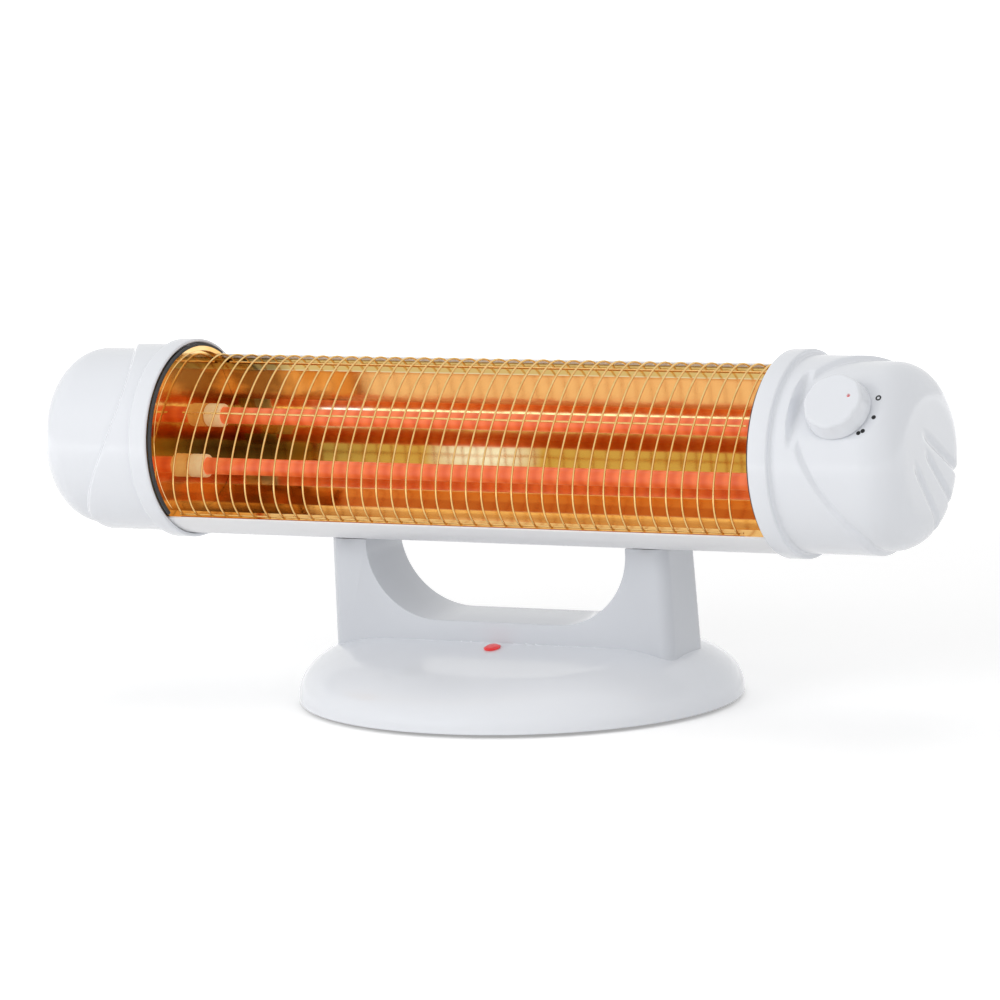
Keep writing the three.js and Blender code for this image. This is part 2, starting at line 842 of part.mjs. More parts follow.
// Height of the cover's skin over a place on the floor: outside, or inside when inset by the wall.
function domeHeightAt(x, y, inset) {
  const across = x / (baseHalfLength - inset);
  const back = y / (baseHalfDepth - inset);
  const rise = baseTop - rimClear - rimHeight - inset;
  return rimClear + rimHeight + rise * domeRise(Math.hypot(across, back), Math.atan2(back, across));
}

// Seats for the bottom screws hang from the cover's inside, the rear one in front of the cord's clamp.
const bottomBossRadius = 4;
const clampWidth = 9;
const clampBack = sleeveInner - airGap - clampWidth / 2;
const clampClear = 1.2;
const bottomBosses = [
  [-95, 0],
  [95, 0],
  [0, clampBack - clampWidth / 2 - clampClear - bottomBossRadius],
];
const plateTop = rimClear + plateSink + bottomSheet;

// Wires pass from the base into the pedestal's left arm.
const cableWayAlong = 84;
const cableWayRadius = 6;

function baseCover() {
  let cover = domeSolid(0, 0).subtract(domeSolid(wall, 0));
  const room = domeSolid(wall - 0.2, 0);
  for (const [x, y] of bottomBosses) {
    const boss = turned(rodProfile(bottomBossRadius, plateTop + airGap, baseTop), 16).translate(x, y, 0);
    cover = cover.add(solidOf(boss).intersect(room));
    const pilot = turned(rodProfile(1.8, 0, plateTop + 12), 12).translate(x, y, 0);
    cover = cover.subtract(solidOf(pilot));
  }
  for (const side of [-1, 1]) {
    const hole = turned(rodProfile(pedestalScrewRadius + airGap, 0, 60), 16);
    cover = cover.subtract(solidOf(hole.translate(side * pedestalScrewAlong, 0, 0)));
  }
  const cableWay = turned(rodProfile(cableWayRadius, 20, 60), 20).translate(-cableWayAlong, 0, 0);
  const lampHole = onLeaf(turned(rodProfile(lampRadius, -12, 12), 24));
  const cordHole = turned(rodProfile(sleeveRadius + airGap, 0, 40), 24);
  cordHole.rotateX(-Math.PI / 2).translate(0, sleeveInner - 5, sleeveHeight);
  for (const cut of [cableWay, lampHole, cordHole]) cover = cover.subtract(solidOf(cut));
  return cover;
}

place(object, "base_cover", geometryOf(baseCover()), "whitePlastic");

// ---------------------------------------------------------------- base: plate, feet, screws

const plateInset = wall + airGap + 0.4;
const tipAlong = 30;
const tipForward = -30;
const plungerRadius = 4;
const bottomScrewRadius = 1.5;
const pedestalScrewAccess = 5; // radius of the hole under each pedestal screw

function ovalSlab(inset, from, to) {
  const oval = new THREE.Shape();
  oval.absellipse(0, 0, baseHalfLength - inset, baseHalfDepth - inset, 0, 2 * Math.PI);
  const slab = new THREE.ExtrudeGeometry(oval, { depth: to - from, bevelEnabled: false, curveSegments: 28 });
  return slab.translate(0, 0, from);
}

function drilled(solid, holes) {
  return holes.reduce((left, [x, y, radius]) => {
    const drill = turned(rodProfile(radius, -5, 30), 16).translate(x, y, 0);
    return left.subtract(solidOf(drill));
  }, solid);
}

const plateFrom = rimClear + plateSink;
function bottomPlate() {
  const holes = bottomBosses.map(([x, y]) => [x, y, bottomScrewRadius + airGap]);
  holes.push([tipAlong, tipForward, plungerRadius + runningGap]);
  for (const side of [-1, 1]) holes.push([side * pedestalScrewAlong, 0, pedestalScrewAccess]);
  return geometryOf(drilled(solidOf(ovalSlab(plateInset, plateFrom, plateTop)), holes));
}
place(object, "bottom_plate", bottomPlate(), "blackPlastic");

for (const [name, x, y] of [
  ["front_left", -footAlong, -footAcross],
  ["front_right", footAlong, -footAcross],
  ["rear_left", -footAlong, footAcross],
  ["rear_right", footAlong, footAcross],
]) {
  const foot = turned(
    [
      [0, 0],
      [footRadius - 0.6, 0],
      [footRadius, 0.6],
      [footRadius, plateFrom - airGap],
      [0, plateFrom - airGap],
    ],
    24,
  );
  place(object, `foot_${name}`, foot, "darkRubber", [x, y, 0]);
}

bottomBosses.forEach(([x, y], i) => {
  const headRadius = 3;
  const headHeight = 1.6;
  const screw = turned(
    [
      [0, plateFrom - airGap - headHeight],
      [headRadius * 0.8, plateFrom - airGap - headHeight],
      [headRadius, plateFrom - airGap - headHeight / 2],
      [headRadius, plateFrom - airGap],
      [bottomScrewRadius, plateFrom - airGap],
      [bottomScrewRadius, plateTop + 10],
      [0, plateTop + 10],
    ],
    16,
  );
  place(object, `bottom_screw_${["left", "right", "rear"][i]}`, screw, "steel", [x, y, 0]);
});

// ---------------------------------------------------------------- base: pilot lamp, cord inlet

const barrelFoot = -6;
const barrelRadius = lampRadius - airGap;
const lens = turned(
  [
    [0, barrelFoot],
    [barrelRadius, barrelFoot],
    [barrelRadius, airGap],
    [lensRadius, airGap],
    [lensRadius, airGap + 0.5],
    [lensRadius * 0.7, airGap + 1.3],
    [0, airGap + 1.6],
  ],
  24,
);
place(object, "pilot_lamp_lens", onLeaf(lens), "redLens");
const lampHolderTop = -wall - airGap;
const lampHolderRadius = lampRadius + 2;
const lampHolder = turned(
  [
    [0, -16],
    [lampHolderRadius - 3, -16],
    [lampHolderRadius - 3, -11],
    [lampHolderRadius, -11],
    [lampHolderRadius, lampHolderTop],
    [lampRadius, lampHolderTop],
    [lampRadius, barrelFoot - airGap],
    [0, barrelFoot - airGap],
  ],
  24,
);
place(object, "pilot_lamp_holder", onLeaf(lampHolder), "blackPlastic");

// The mains cord's inlet: a sleeve through the rear of the cover, with a flange inside.
const sleeveBore = 3.2;
const sleeveFlange = 6;
const cordSleeve = turned(
  [
    [sleeveBore, 0],
    [sleeveFlange, 0],
    [sleeveFlange, 2],
    [sleeveRadius, 2],
    [sleeveRadius, sleeveLength],
    [sleeveBore, sleeveLength],
    [sleeveBore, 0],
  ],
  24,
);
cordSleeve.rotateX(-Math.PI / 2).translate(0, sleeveInner, sleeveHeight);
place(object, "cord_sleeve", cordSleeve, "darkRubber");

// ---------------------------------------------------------------- base: tip-over switch

const plungerTravel = 5;
const plungerTip = 0.2;
const tipBodyFrom = plateTop + airGap;
const tipBodyHeight = 20;
const tipBoxLength = 26;
const tipBoxWidth = 15;
const tipWayHeight = 16; // depth of the way for the plunger and its spring
const plungerFlange = plungerRadius + 1.2; // keeps the plunger from falling out

function tipSwitchBody() {
  const box = new THREE.BoxGeometry(tipBoxLength, tipBoxWidth, tipBodyHeight);
  box.translate(0, 0, tipBodyFrom + tipBodyHeight / 2);
  const way = turned(rodProfile(plungerFlange + runningGap, 0, tipBodyFrom + tipWayHeight), 20);
  return geometryOf(solidOf(box).subtract(solidOf(way)));
}

const plungerTop = tipBodyFrom + 8;
const plunger = turned(
  [
    [0, plungerTip],
    [plungerRadius - 1, plungerTip],
    [plungerRadius, plungerTip + 1],
    [plungerRadius, plateTop + plungerTravel],
    [plungerFlange, plateTop + plungerTravel],
    [plungerFlange, plungerTop],
    [0, plungerTop],
  ],
  20,
);
const springFrom = plungerTop + airGap;
const springTo = tipBodyFrom + tipWayHeight - airGap;
const spring = turned(ringProfile(2.2, 4, springFrom, springTo), 16);
const tipPlace = [tipAlong, tipForward, 0];
place(object, "tip_switch_body", tipSwitchBody(), "blackPlastic", tipPlace);
place(object, "tip_plunger", plunger, "whitePlastic", tipPlace);
place(object, "tip_spring", spring, "steel", tipPlace);

const plateSeat = plateTop + airGap; // what lies on the plate starts here
const blockHeight = 12;
const terminalBlock = new THREE.BoxGeometry(30, 16, blockHeight);
terminalBlock.translate(-30, 45, plateSeat + blockHeight / 2);
place(object, "terminal_block", terminalBlock, "blackPlastic");

// A bridge on two legs holds the cord down in front of its sleeve.
const clampLength = 22;
const clampBarHeight = 4;
const clampLegHeight = 8;
const clampLegWidth = 5;
const clampBar = new THREE.BoxGeometry(clampLength, clampWidth, clampBarHeight);
clampBar.translate(0, clampBack, plateSeat + clampLegHeight - 1 + clampBarHeight / 2);
const clampLegs = [-1, 1].map((side) => {
  const leg = new THREE.BoxGeometry(clampLegWidth, clampWidth, clampLegHeight);
  const along = (side * (clampLength - clampLegWidth)) / 2;
  return leg.translate(along, clampBack, plateSeat + clampLegHeight / 2);
});
place(object, "cord_clamp", geometryOf(joined([clampBar, ...clampLegs])), "blackPlastic");

// ---------------------------------------------------------------- pedestal

const pedestalFoot = 24;
const armTop = axisHeight - 30;

// The U's opening seen from the front, in (x, z), grown by a margin.
function archShape(margin) {
  const half = archHalfWidth + margin;
  const floorHalf = archFloorHalf;
  const floor = archFloor - margin;
  const pull = 0.5523; // makes a curve close to a quarter of an ellipse
  const high = archShoulder - (archShoulder - floor) * pull;
  const wide = floorHalf + (half - floorHalf) * pull;
  const shape = new THREE.Shape();
  shape.moveTo(-half, armTop + 5);
  shape.lineTo(-half, archShoulder);
  shape.bezierCurveTo(-half, high, -wide, floor, -floorHalf, floor);
  shape.lineTo(floorHalf, floor);
  shape.bezierCurveTo(wide, floor, half, high, half, archShoulder);
  shape.lineTo(half, armTop + 5);
  return shape;
}

// The pedestal's block: a plan with round corners that narrows upwards.
function pedestalBlock(inset, foot) {
  const x = pedestalHalfWidth + pedestalFlare - inset;
  const y = (pedestalDepth + pedestalSplay) / 2 - inset;
  const corner = Math.max(pedestalCorner - inset, 2);
  const plan = new THREE.Shape();
  plan.moveTo(-x + corner, -y);
  plan.lineTo(x - corner, -y);
  plan.absarc(x - corner, -y + corner, corner, -Math.PI / 2, 0);
  plan.absarc(x - corner, y - corner, corner, 0, Math.PI / 2);
  plan.absarc(-x + corner, y - corner, corner, Math.PI / 2, Math.PI);
  plan.absarc(-x + corner, -y + corner, corner, Math.PI, 1.5 * Math.PI);
  const depth = armTop - foot;
  const block = new THREE.ExtrudeGeometry(plan, { depth, bevelEnabled: false, curveSegments: 6 });
  block.translate(0, 0, foot);
  const p = block.attributes.position;
  for (let i = 0; i < p.count; i++) {
    const up = (p.getZ(i) - pedestalFoot) / (armTop - pedestalFoot);
    p.setX(i, p.getX(i) * (1 - (pedestalFlare * up) / (pedestalHalfWidth + pedestalFlare)));
    p.setY(i, p.getY(i) * (1 - (pedestalSplay * up) / (pedestalDepth + pedestalSplay)));
  }
  return solidOf(block);
}

function archCut(margin) {
  return solidOf(slabAlongY(archShape(margin), 60, 60, 10));
}

function drumCylinder(radius) {
  const drum = turnedAlongX(rodProfile(radius, -halfMouth, halfMouth), 72);
  return solidOf(drum.translate(0, -axisForward, axisHeight));
}

const padInner = drumRadius + airGap;
const saddleRadius = padInner + padThick + airGap;

// Turns a piece that points up +Z to point down along a tilt screw, at the drum's axis.
function alongTiltScrew(geometry, side) {
  return geometry
    .rotateX((90 - tiltScrewAngle) * degrees)
    .translate(side * tiltScrewAlong, -axisForward, axisHeight);
}

function padBar(side, inner, outer, extra) {
  const reach = padReach + extra / drumRadius / degrees;
  const sector = ringSector(inner, outer, tiltScrewAngle - reach, tiltScrewAngle + reach);
  const middle = side * tiltScrewAlong;
  const half = padWidth / 2 + extra;
  return barAlongX(sector, middle - half, middle + half).translate(0, -axisForward, axisHeight);
}

function pedestal() {
  const saddle = drumCylinder(saddleRadius);
  const roof = drumCylinder(saddleRadius + wall);
  const hollow = pedestalBlock(wall, pedestalFoot - 10).subtract(roof).subtract(archCut(wall));
  let body = pedestalBlock(0, pedestalFoot).subtract(saddle).subtract(archCut(0)).subtract(hollow);
  for (const side of [-1, 1]) {
    const grip = turned(rodProfile(5, saddleRadius, saddleRadius + 20), 16);
    body = body.add(solidOf(alongTiltScrew(grip, side)).subtract(saddle));
    const boss = turned(rodProfile(pedestalBossRadius, pedestalFoot, archFloor + 1.5), 16);
    body = body.add(solidOf(boss.translate(side * pedestalScrewAlong, 0, 0)));
    const pilot = turned(rodProfile(pedestalScrewRadius + airGap, 0, archFloor - 1), 16);
    body = body.subtract(solidOf(pilot.translate(side * pedestalScrewAlong, 0, 0)));
    const screwWay = turned(rodProfile(tiltScrewRadius + airGap, 40, saddleRadius + 17), 16);
    body = body.subtract(solidOf(alongTiltScrew(screwWay, side)));
  }
  return body.subtract(domeSolid(0, airGap));
}
place(object, "pedestal", geometryOf(pedestal()), "greyPlastic");

// ---------------------------------------------------------------- tilt joint

for (const [name, side] of [
  ["left", -1],
  ["right", 1],
]) {
  const screwHole = alongTiltScrew(turned(rodProfile(tiltScrewRadius + airGap, 40, far + 20), 16), side);
  const pad = solidOf(padBar(side, padInner, padInner + padThick, 0)).subtract(solidOf(screwHole));
  place(object, `saddle_pad_${name}`, geometryOf(pad), "darkRubber");
  const washerTop = housingInside - airGap - 0.5;
  const washer = turned(
    ringProfile(tiltScrewRadius + airGap, washerRadius, washerTop - washerSheet, washerTop),
    24,
  );
  place(object, `tilt_washer_${name}`, alongTiltScrew(washer, side), "steel");
  const headFoot = washerTop - washerSheet - airGap;
  const screw = turned(
    [
      [0, headFoot - tiltHeadHeight],
      [tiltHeadRadius, headFoot - tiltHeadHeight],
      [tiltHeadRadius, headFoot],
      [tiltScrewRadius, headFoot],
      [tiltScrewRadius, headFoot + tiltScrewLength],
      [0, headFoot + tiltScrewLength],
    ],
    20,
  );
  place(object, `tilt_screw_${name}`, alongTiltScrew(screw, side), "steel");
  const screwHead = 4;
  const headTop = domeHeightAt(pedestalScrewAlong + screwHead, 0, wall) - airGap;
  const screwTip = archFloor - 3;
  const pedestalScrew = turned(
    [
      [0, headTop - 2.5],
      [screwHead, headTop - 2.5],
      [screwHead, headTop],
      [pedestalScrewRadius, headTop],
      [pedestalScrewRadius, screwTip],
      [0, screwTip],
    ],
    16,
  );
  const foot = [side * pedestalScrewAlong, 0, 0];
  place(object, `pedestal_screw_${name}`, pedestalScrew, "steel", foot);
}

export default object;
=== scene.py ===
import json
import math

import bpy
from mathutils import Matrix, Vector


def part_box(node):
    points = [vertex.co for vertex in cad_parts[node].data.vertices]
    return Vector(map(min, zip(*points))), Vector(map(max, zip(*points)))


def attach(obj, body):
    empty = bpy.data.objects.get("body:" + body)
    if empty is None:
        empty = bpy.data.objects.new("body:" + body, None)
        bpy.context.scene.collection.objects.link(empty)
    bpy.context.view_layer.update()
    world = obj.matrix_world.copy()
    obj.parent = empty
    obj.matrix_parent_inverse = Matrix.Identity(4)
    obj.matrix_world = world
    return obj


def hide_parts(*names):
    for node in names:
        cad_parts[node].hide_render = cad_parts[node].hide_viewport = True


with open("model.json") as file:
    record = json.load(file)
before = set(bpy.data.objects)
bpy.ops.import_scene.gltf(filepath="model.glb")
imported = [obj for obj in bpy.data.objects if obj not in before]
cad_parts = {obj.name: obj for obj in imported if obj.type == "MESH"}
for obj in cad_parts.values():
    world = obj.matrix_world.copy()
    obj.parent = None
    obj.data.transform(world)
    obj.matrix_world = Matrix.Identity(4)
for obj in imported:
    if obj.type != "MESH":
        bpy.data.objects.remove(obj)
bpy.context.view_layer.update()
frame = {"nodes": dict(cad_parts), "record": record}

# Tabletop halogen heater. Lengths here are in millimetres until a mesh is made.
MM = 0.001
DEGREE = math.pi / 180

# ------------------------------------------------------------------ sizes, as in the frame

HEAD_TILT = 40
AXIS_HEIGHT = 155
AXIS_FORWARD = 20
# The head's own frame: +X along the drum, -Y out of the mouth, +Z up the mouth.
HEAD = Matrix.Translation((0, -AXIS_FORWARD, AXIS_HEIGHT)) @ Matrix.Rotation(-HEAD_TILT * DEGREE, 4, "X")

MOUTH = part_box("right_end_cap")[0].x / MM
CAP_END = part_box("right_end_cap")[1].x / MM
CAP_LENGTH = CAP_END - MOUTH
DRUM = 57
SHEET = 1
MOUTH_ANGLE = 87
WALL = 2.5

COLLAR = 59.5
COLLAR_WIDTH = 12
RAISED = 56.2
BODY = 53.3
CAP_ROUND = 22
STEP_NEAREST = 23.5
STEP_SWING = 19.5
STEP_RATE = 1.6
STEP_WIDTH = 3.6

PANEL = 50
PANEL_FROM = 16
KNOB = (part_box("control_knob")[0].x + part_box("control_knob")[1].x) / 2 / MM
KNOB_RADIUS = 19
KNOB_TOP_RADIUS = 17.5
KNOB_FOOT = PANEL + 0.5
KNOB_HEIGHT = 11.5

BASE_LENGTH = 138
BASE_DEPTH = 108
BASE_TOP = 40
RIM_LOW = 2.2
RIM_TOP = 6
SIDE_FULLNESS = 4.5
FRONT_FULLNESS = 1.3
LEAF_SLOPE = 9.9
LEAF_HEIGHT = 37.8
LEAF_FROM = 20

PEDESTAL_HALF = 112
PEDESTAL_FLARE = 2
PEDESTAL_DEPTH = 40
PEDESTAL_SPLAY = 4
PEDESTAL_CORNER = 8
PEDESTAL_FOOT = 24
PEDESTAL_TOP = 125
ARCH_FLOOR = 49.5
ARCH_HALF = 87
ARCH_FLOOR_HALF = 40
ARCH_SHOULDER = 94
SADDLE = 58.6

WIRE = 0.6
WIRE_PITCH = 10
WIRE_COUNT = 38
GRILLE_FRONT = 31
GRILLE_HALF = 53.5
GRILLE_POWER = 2.4
GRILLE_SHIFT = -6

TUBE = 5
TUBE_BORE = 4
TUBE_SPREAD = 35
TUBE_BACK = 3
HOLDER = 7

VENT_COUNT = 11
VENT_PITCH = 32
VENT_HALF = 10
VENT_ROWS = ((144.4, 147.6), (152.4, 155.6))
SLOT_ALONG = 100
SLOT_HALF = 2.5
SLOT_SWEEP = (-163.2, -117.8)

# ------------------------------------------------------------------ shader nodes


class Link:
    """A shader socket or number that Python's operators turn into Math nodes."""

    def __init__(self, shader, socket):
        self.shader = shader
        self.socket = socket

    def math(self, operation, *others):
        inputs = {0: self, **dict(enumerate(others, 1))}
        return self.shader.node("ShaderNodeMath", {"operation": operation}, inputs)

    def __add__(self, other):
        return self.math("ADD", other)

    __radd__ = __add__

    def __mul__(self, other):
        return self.math("MULTIPLY", other)

    __rmul__ = __mul__

    def __sub__(self, other):
        return self.math("SUBTRACT", other)

    def __rsub__(self, other):
        return self.shader.node("ShaderNodeMath", {"operation": "SUBTRACT"}, {0: other, 1: self})

    def clamped(self):
        return self.shader.node("ShaderNodeClamp", {}, {"Value": self})

    def past(self, place, run):
        """0 up to a place, then rising to 1 over a run; a negative run goes the other way."""
        return ((self - place) * (1 / run)).clamped()


class Shader:
    """A material's node tree."""

    def __init__(self, name, tree=None):
        self.material = None
        if tree is None:
            self.material = bpy.data.materials.new(name)
            self.material.use_nodes = True
            tree = self.material.node_tree
        self.tree = tree
        tree.nodes.clear()

    def node(self, kind, settings=None, inputs=None, output=0):
        made = self.tree.nodes.new(kind)
        for key, value in (settings or {}).items():
            if key == "stops":
                ramp = made.color_ramp
                while len(ramp.elements) > 1:
                    ramp.elements.remove(ramp.elements[-1])
                for place, (position, colour) in enumerate(value):
                    element = ramp.elements[0] if place == 0 else ramp.elements.new(position)
                    element.position = position
                    element.color = (*colour, 1)
            else:
                setattr(made, key, value)
        for key, value in (inputs or {}).items():
            if isinstance(value, Link):
                self.tree.links.new(value.socket, made.inputs[key])
            elif isinstance(value, tuple) and len(value) == 3 and made.inputs[key].type == "RGBA":
                made.inputs[key].default_value = (*value, 1)
            else:
                made.inputs[key].default_value = value
        return Link(self, made.outputs[output])

    def place(self, scale=(1, 1, 1)):
        spot = self.node("ShaderNodeTexCoord", {}, {}, "Object")
        return self.node("ShaderNodeMapping", {}, {"Vector": spot, "Scale": scale})

    def noise(self, scale, detail=2, stretch=(1, 1, 1), roughness=0.5):
        inputs = {"Vector": self.place(stretch), "Scale": scale, "Detail": detail, "Roughness": roughness}
        return self.node("ShaderNodeTexNoise", {}, inputs, "Fac")

    def ramp(self, factor, stops):
        return self.node("ShaderNodeValToRGB", {"stops": stops}, {"Fac": factor}, "Color")

    def reach(self, direction):
        """Distance in millimetres along a direction from the drum's axis, in the mesh's own frame."""
        spot = self.node("ShaderNodeTexCoord", {}, {}, "Object")
        inputs = {0: spot, 1: tuple(direction)}
        dot = self.node("ShaderNodeVectorMath", {"operation": "DOT_PRODUCT"}, inputs, "Value")
        return dot * (1 / MM) - direction.dot(HEAD.translation)

    def mix(self, factor, a, b):
        inputs = {0: factor, 6: a, 7: b}
        return self.node("ShaderNodeMix", {"data_type": "RGBA"}, inputs, 2)

    def bump(self, height, strength, distance=0.0004):
        inputs = {"Height": height, "Strength": strength, "Distance": distance}
        return self.node("ShaderNodeBump", {}, inputs)

    def finish(self, **inputs):
        named = {key.replace("_", " "): value for key, value in inputs.items()}
        surface = self.node("ShaderNodeBsdfPrincipled", {}, named)
        output = self.tree.nodes.new("ShaderNodeOutputMaterial")
        self.tree.links.new(surface.socket, output.inputs["Surface"])
        return self.material


def glossy_plastic(name, colour, roughness=0.2, grain=0.05):
    """Moulded plastic with faint flow marks and a fine orange-peel skin."""
    shader = Shader(name)
    flow = shader.noise(9, 3)
    peel = shader.noise(420, 2)
    tone = shader.mix(flow, tuple(c * 0.97 for c in colour), colour)
    return shader.finish(
        Base_Color=tone,
        Roughness=roughness + 0.06 * (flow - 0.5),
        Normal=shader.bump(peel, grain),
        Coat_Weight=0.35,
        Coat_Roughness=0.06,
        IOR=1.5,
    )


def matt_plastic(name, colour):
    shader = Shader(name)
    grain = shader.noise(900, 3)
    tone = shader.mix(grain, tuple(c * 0.8 for c in colour), tuple(min(1, c * 1.25) for c in colour))
    return shader.finish(
        Base_Color=tone,
        Roughness=0.5 + 0.15 * grain,
        Normal=shader.bump(grain, 0.25),
    )


def painted_sheet(name, colour):
    shader = Shader(name)
    flow = shader.noise(30, 2)
    peel = shader.noise(650, 2)
    tone = shader.mix(flow, tuple(c * 0.96 for c in colour), colour)
    return shader.finish(
        Base_Color=tone,
        Roughness=0.3 + 0.05 * flow,
        Normal=shader.bump(peel, 0.06),
    )


def mirror_gold(name):
    """Polished gold-coloured sheet with a faint ripple."""
    shader = Shader(name)
    patches = shader.noise(14, 2, (0.6, 2, 2), 0.5)
    stops = (
        (0.3, (0.66, 0.34, 0.08)),
        (0.5, (0.85, 0.52, 0.19)),
        (0.7, (0.93, 0.68, 0.36)),
    )
    shade = shader.ramp(patches, stops)
    ripple = shader.noise(50, 2, (0.5, 1.6, 1.6))
    return shader.finish(
        Base_Color=shade,
        Metallic=1.0,
        Roughness=0.05 + 0.06 * ripple,
        Normal=shader.bump(ripple, 0.12, 0.0006),
    )


# Tints of the trough's folds, from its lower edge to its upper one: the gold's colour with a painted
# reflection of what each fold faces, near white for the surroundings and red-brown for the tubes. Each runs
# from its first place to its second, in millimetres above the trough's middle, with a soft change of
# FOLD_EDGE at either end.
FOLD_EDGE = 0.8
FOLD_TINTS_AND_REFLECTIONS = (
    (-56, -49, (0.82, 0.48, 0.16)),
    (-49, -40.4, (0.88, 0.56, 0.24)),
    (-40.4, -24, (0.97, 0.54, 0.24)),
    (-24, -16, (0.54, 0.11, 0.006)),
    (-16, -8, (0.66, 0.16, 0.014)),
    (-8, 8, (1.0, 0.87, 0.54)),
    (8, 20.5, (0.62, 0.34, 0.055)),
    (20.5, 24, (0.57, 0.41, 0.10)),
    (24, 29.5, (0.54, 0.34, 0.08)),
    (29.5, 40.4, (1.0, 0.88, 0.44)),
    (40.4, 49, (0.95, 0.90, 0.68)),
    (49, 56, (0.68, 0.47, 0.17)),
)

# The band between the tubes, and the painted highlight in it.
BAND_PLACE = 15
BAND_REACH = 10
HIGHLIGHT_PLACE = -26
HIGHLIGHT_REACH = 40


def trough_gold(name):
    """The trough's gold with painted light: a tint for each fold with its painted reflection, a painted
    highlight between the tubes, painted shade towards the left end and a painted light-coloured reflection
    above the upper tube on the left.
    """
    shader = Shader(name)
    low, high = FOLD_TINTS_AND_REFLECTIONS[0][0], FOLD_TINTS_AND_REFLECTIONS[-1][1]
    up = shader.reach(HEAD.to_3x3() @ Vector((0, 0, 1)))
    along = shader.reach(Vector((1, 0, 0)))
    stops = []
    for start, end, colour in FOLD_TINTS_AND_REFLECTIONS:
        for place in (start + FOLD_EDGE, end - FOLD_EDGE):
            stops.append(((place - low) / (high - low), colour))
    # Each fold's tint, its painted reflection included.
    tint = shader.ramp((up - low) * (1 / (high - low)), stops)

    off_band = (up - BAND_PLACE) * (1 / BAND_REACH)
    in_band = (1 - off_band * off_band).clamped()
    # A painted highlight: a light spot in the middle of the band between the tubes, the image of a light in
    # the concave back.
    off_highlight = (along - HIGHLIGHT_PLACE) * (1 / HIGHLIGHT_REACH)
    spot = in_band * (1 - off_highlight * off_highlight).clamped()
    # Painted shade: the band between the tubes turns olive-dark left of x = -84.
    olive_painted_shade = in_band * along.past(-84, -80)
    # Painted shade in patches at the trough's far left end.
    patches = shader.noise(22, 3, (0.6, 1.6, 1.6), 0.55)
    dark = along.past(-150, -14) * patches.past(0.42, 0.125) * up.past(-26, 4)
    # Painted shade, near black, in the band between the tubes at its left end.
    band_painted_shade = in_band * along.past(-140, -36)
    # A painted reflection: near white on the upper slope towards the left end, the surroundings seen in the
    # mirror.
    pale_painted_reflection = along.past(-152, 8) * along.past(-98, -12) * up.past(27, 8) * up.past(47, -3)
    # Paints the highlight between the tubes.
    tint = shader.mix(spot, tint, (1.0, 0.88, 0.56))
    tint = shader.mix(0.8 * olive_painted_shade, tint, (0.16, 0.12, 0.025))
    tint = shader.mix(0.7 * dark, tint, (0.12, 0.07, 0.015))
    tint = shader.mix(0.85 * band_painted_shade, tint, (0.05, 0.03, 0.01))
    tint = shader.mix(0.9 * pale_painted_reflection, tint, (1.0, 0.98, 0.85))
    ripple = shader.noise(60, 2, (0.5, 1.6, 1.6))
    return shader.finish(
        Base_Color=tint,
        Metallic=1.0,
        Roughness=0.05 + 0.07 * ripple,
        Normal=shader.bump(ripple, 0.1, 0.0006),
    )


def plated_wire(name):
    shader = Shader(name)
    wear = shader.noise(180, 2)
    tone = shader.mix(wear, (0.74, 0.44, 0.13), (0.92, 0.66, 0.30))
    return shader.finish(Base_Color=tone, Metallic=1.0, Roughness=0.16 + 0.12 * wear)


def glowing_quartz(name):
    """Frosted quartz lit from inside by the winding, with painted shadows of the grille's wires in bands
    along it.
    """
    shader = Shader(name)
    cloud = shader.noise(35, 2, (0.3, 1, 1))
    # Painted shadows of the grille's wires: sine bands along the tube at the wires' pitch, which darken its
    # colour and its glow.
    turns = shader.reach(Vector((1, 0, 0))) * (2 * math.pi / WIRE_PITCH)
    share = 0.3 * cloud + 0.35 * turns.math("SINE") + 0.35
    tone = shader.mix(share.clamped(), (0.54, 0.08, 0.02), (0.72, 0.17, 0.055))
    glow = shader.mix(share.clamped(), (0.74, 0.10, 0.02), (0.95, 0.20, 0.055))
    return shader.finish(
        Base_Color=tone,
        Roughness=0.25 + 0.1 * cloud,
        Emission_Color=glow,
        Emission_Strength=0.36,
    )


def glazed_ceramic(name):
    shader = Shader(name)
    speck = shader.noise(500, 4)
    tone = shader.mix(speck, (0.86, 0.58, 0.27), (0.98, 0.76, 0.44))
    return shader.finish(
        Base_Color=tone,
        Roughness=0.55 + 0.15 * speck,
        Normal=shader.bump(speck, 0.2),
        # Emission paints the glow of the tubes falling on the holders; the ceramic gives no light of its
        # own.
        Emission_Color=tone,
        Emission_Strength=0.16,
    )


def worked_metal(name, colour, roughness):
    shader = Shader(name)
    marks = shader.noise(260, 3, (1, 1, 6))
    tone = shader.mix(marks, tuple(c * 0.82 for c in colour), colour)
    return shader.finish(Base_Color=tone, Metallic=1.0, Roughness=roughness + 0.15 * marks)


def soft_rubber(name, colour):
    shader = Shader(name)
    grain = shader.noise(700, 3)
    tone = shader.mix(grain, tuple(c * 0.75 for c in colour), colour)
    return shader.finish(
        Base_Color=tone,
        Roughness=0.7 + 0.2 * grain,
        Normal=shader.bump(grain, 0.3),
    )


def clear_red(name):
    shader = Shader(name)
    depth = shader.noise(260, 2)
    tone = shader.mix(depth, (0.55, 0.012, 0.015), (0.85, 0.03, 0.03))
    return shader.finish(
        Base_Color=tone,
        Roughness=0.12 + 0.08 * depth,
        Emission_Color=tone,
        Emission_Strength=0.25,
        Coat_Weight=0.6,
    )


def glowing_winding(name):
    shader = Shader(name)
    turns = shader.noise(300, 2, (8, 1, 1))
    tone = shader.mix(turns, (0.6, 0.1, 0.02), (0.95, 0.3, 0.08))
    return shader.finish(
        Base_Color=tone,
        Roughness=0.5 + 0.1 * turns,
        Emission_Color=tone,
        Emission_Strength=0.8,
    )


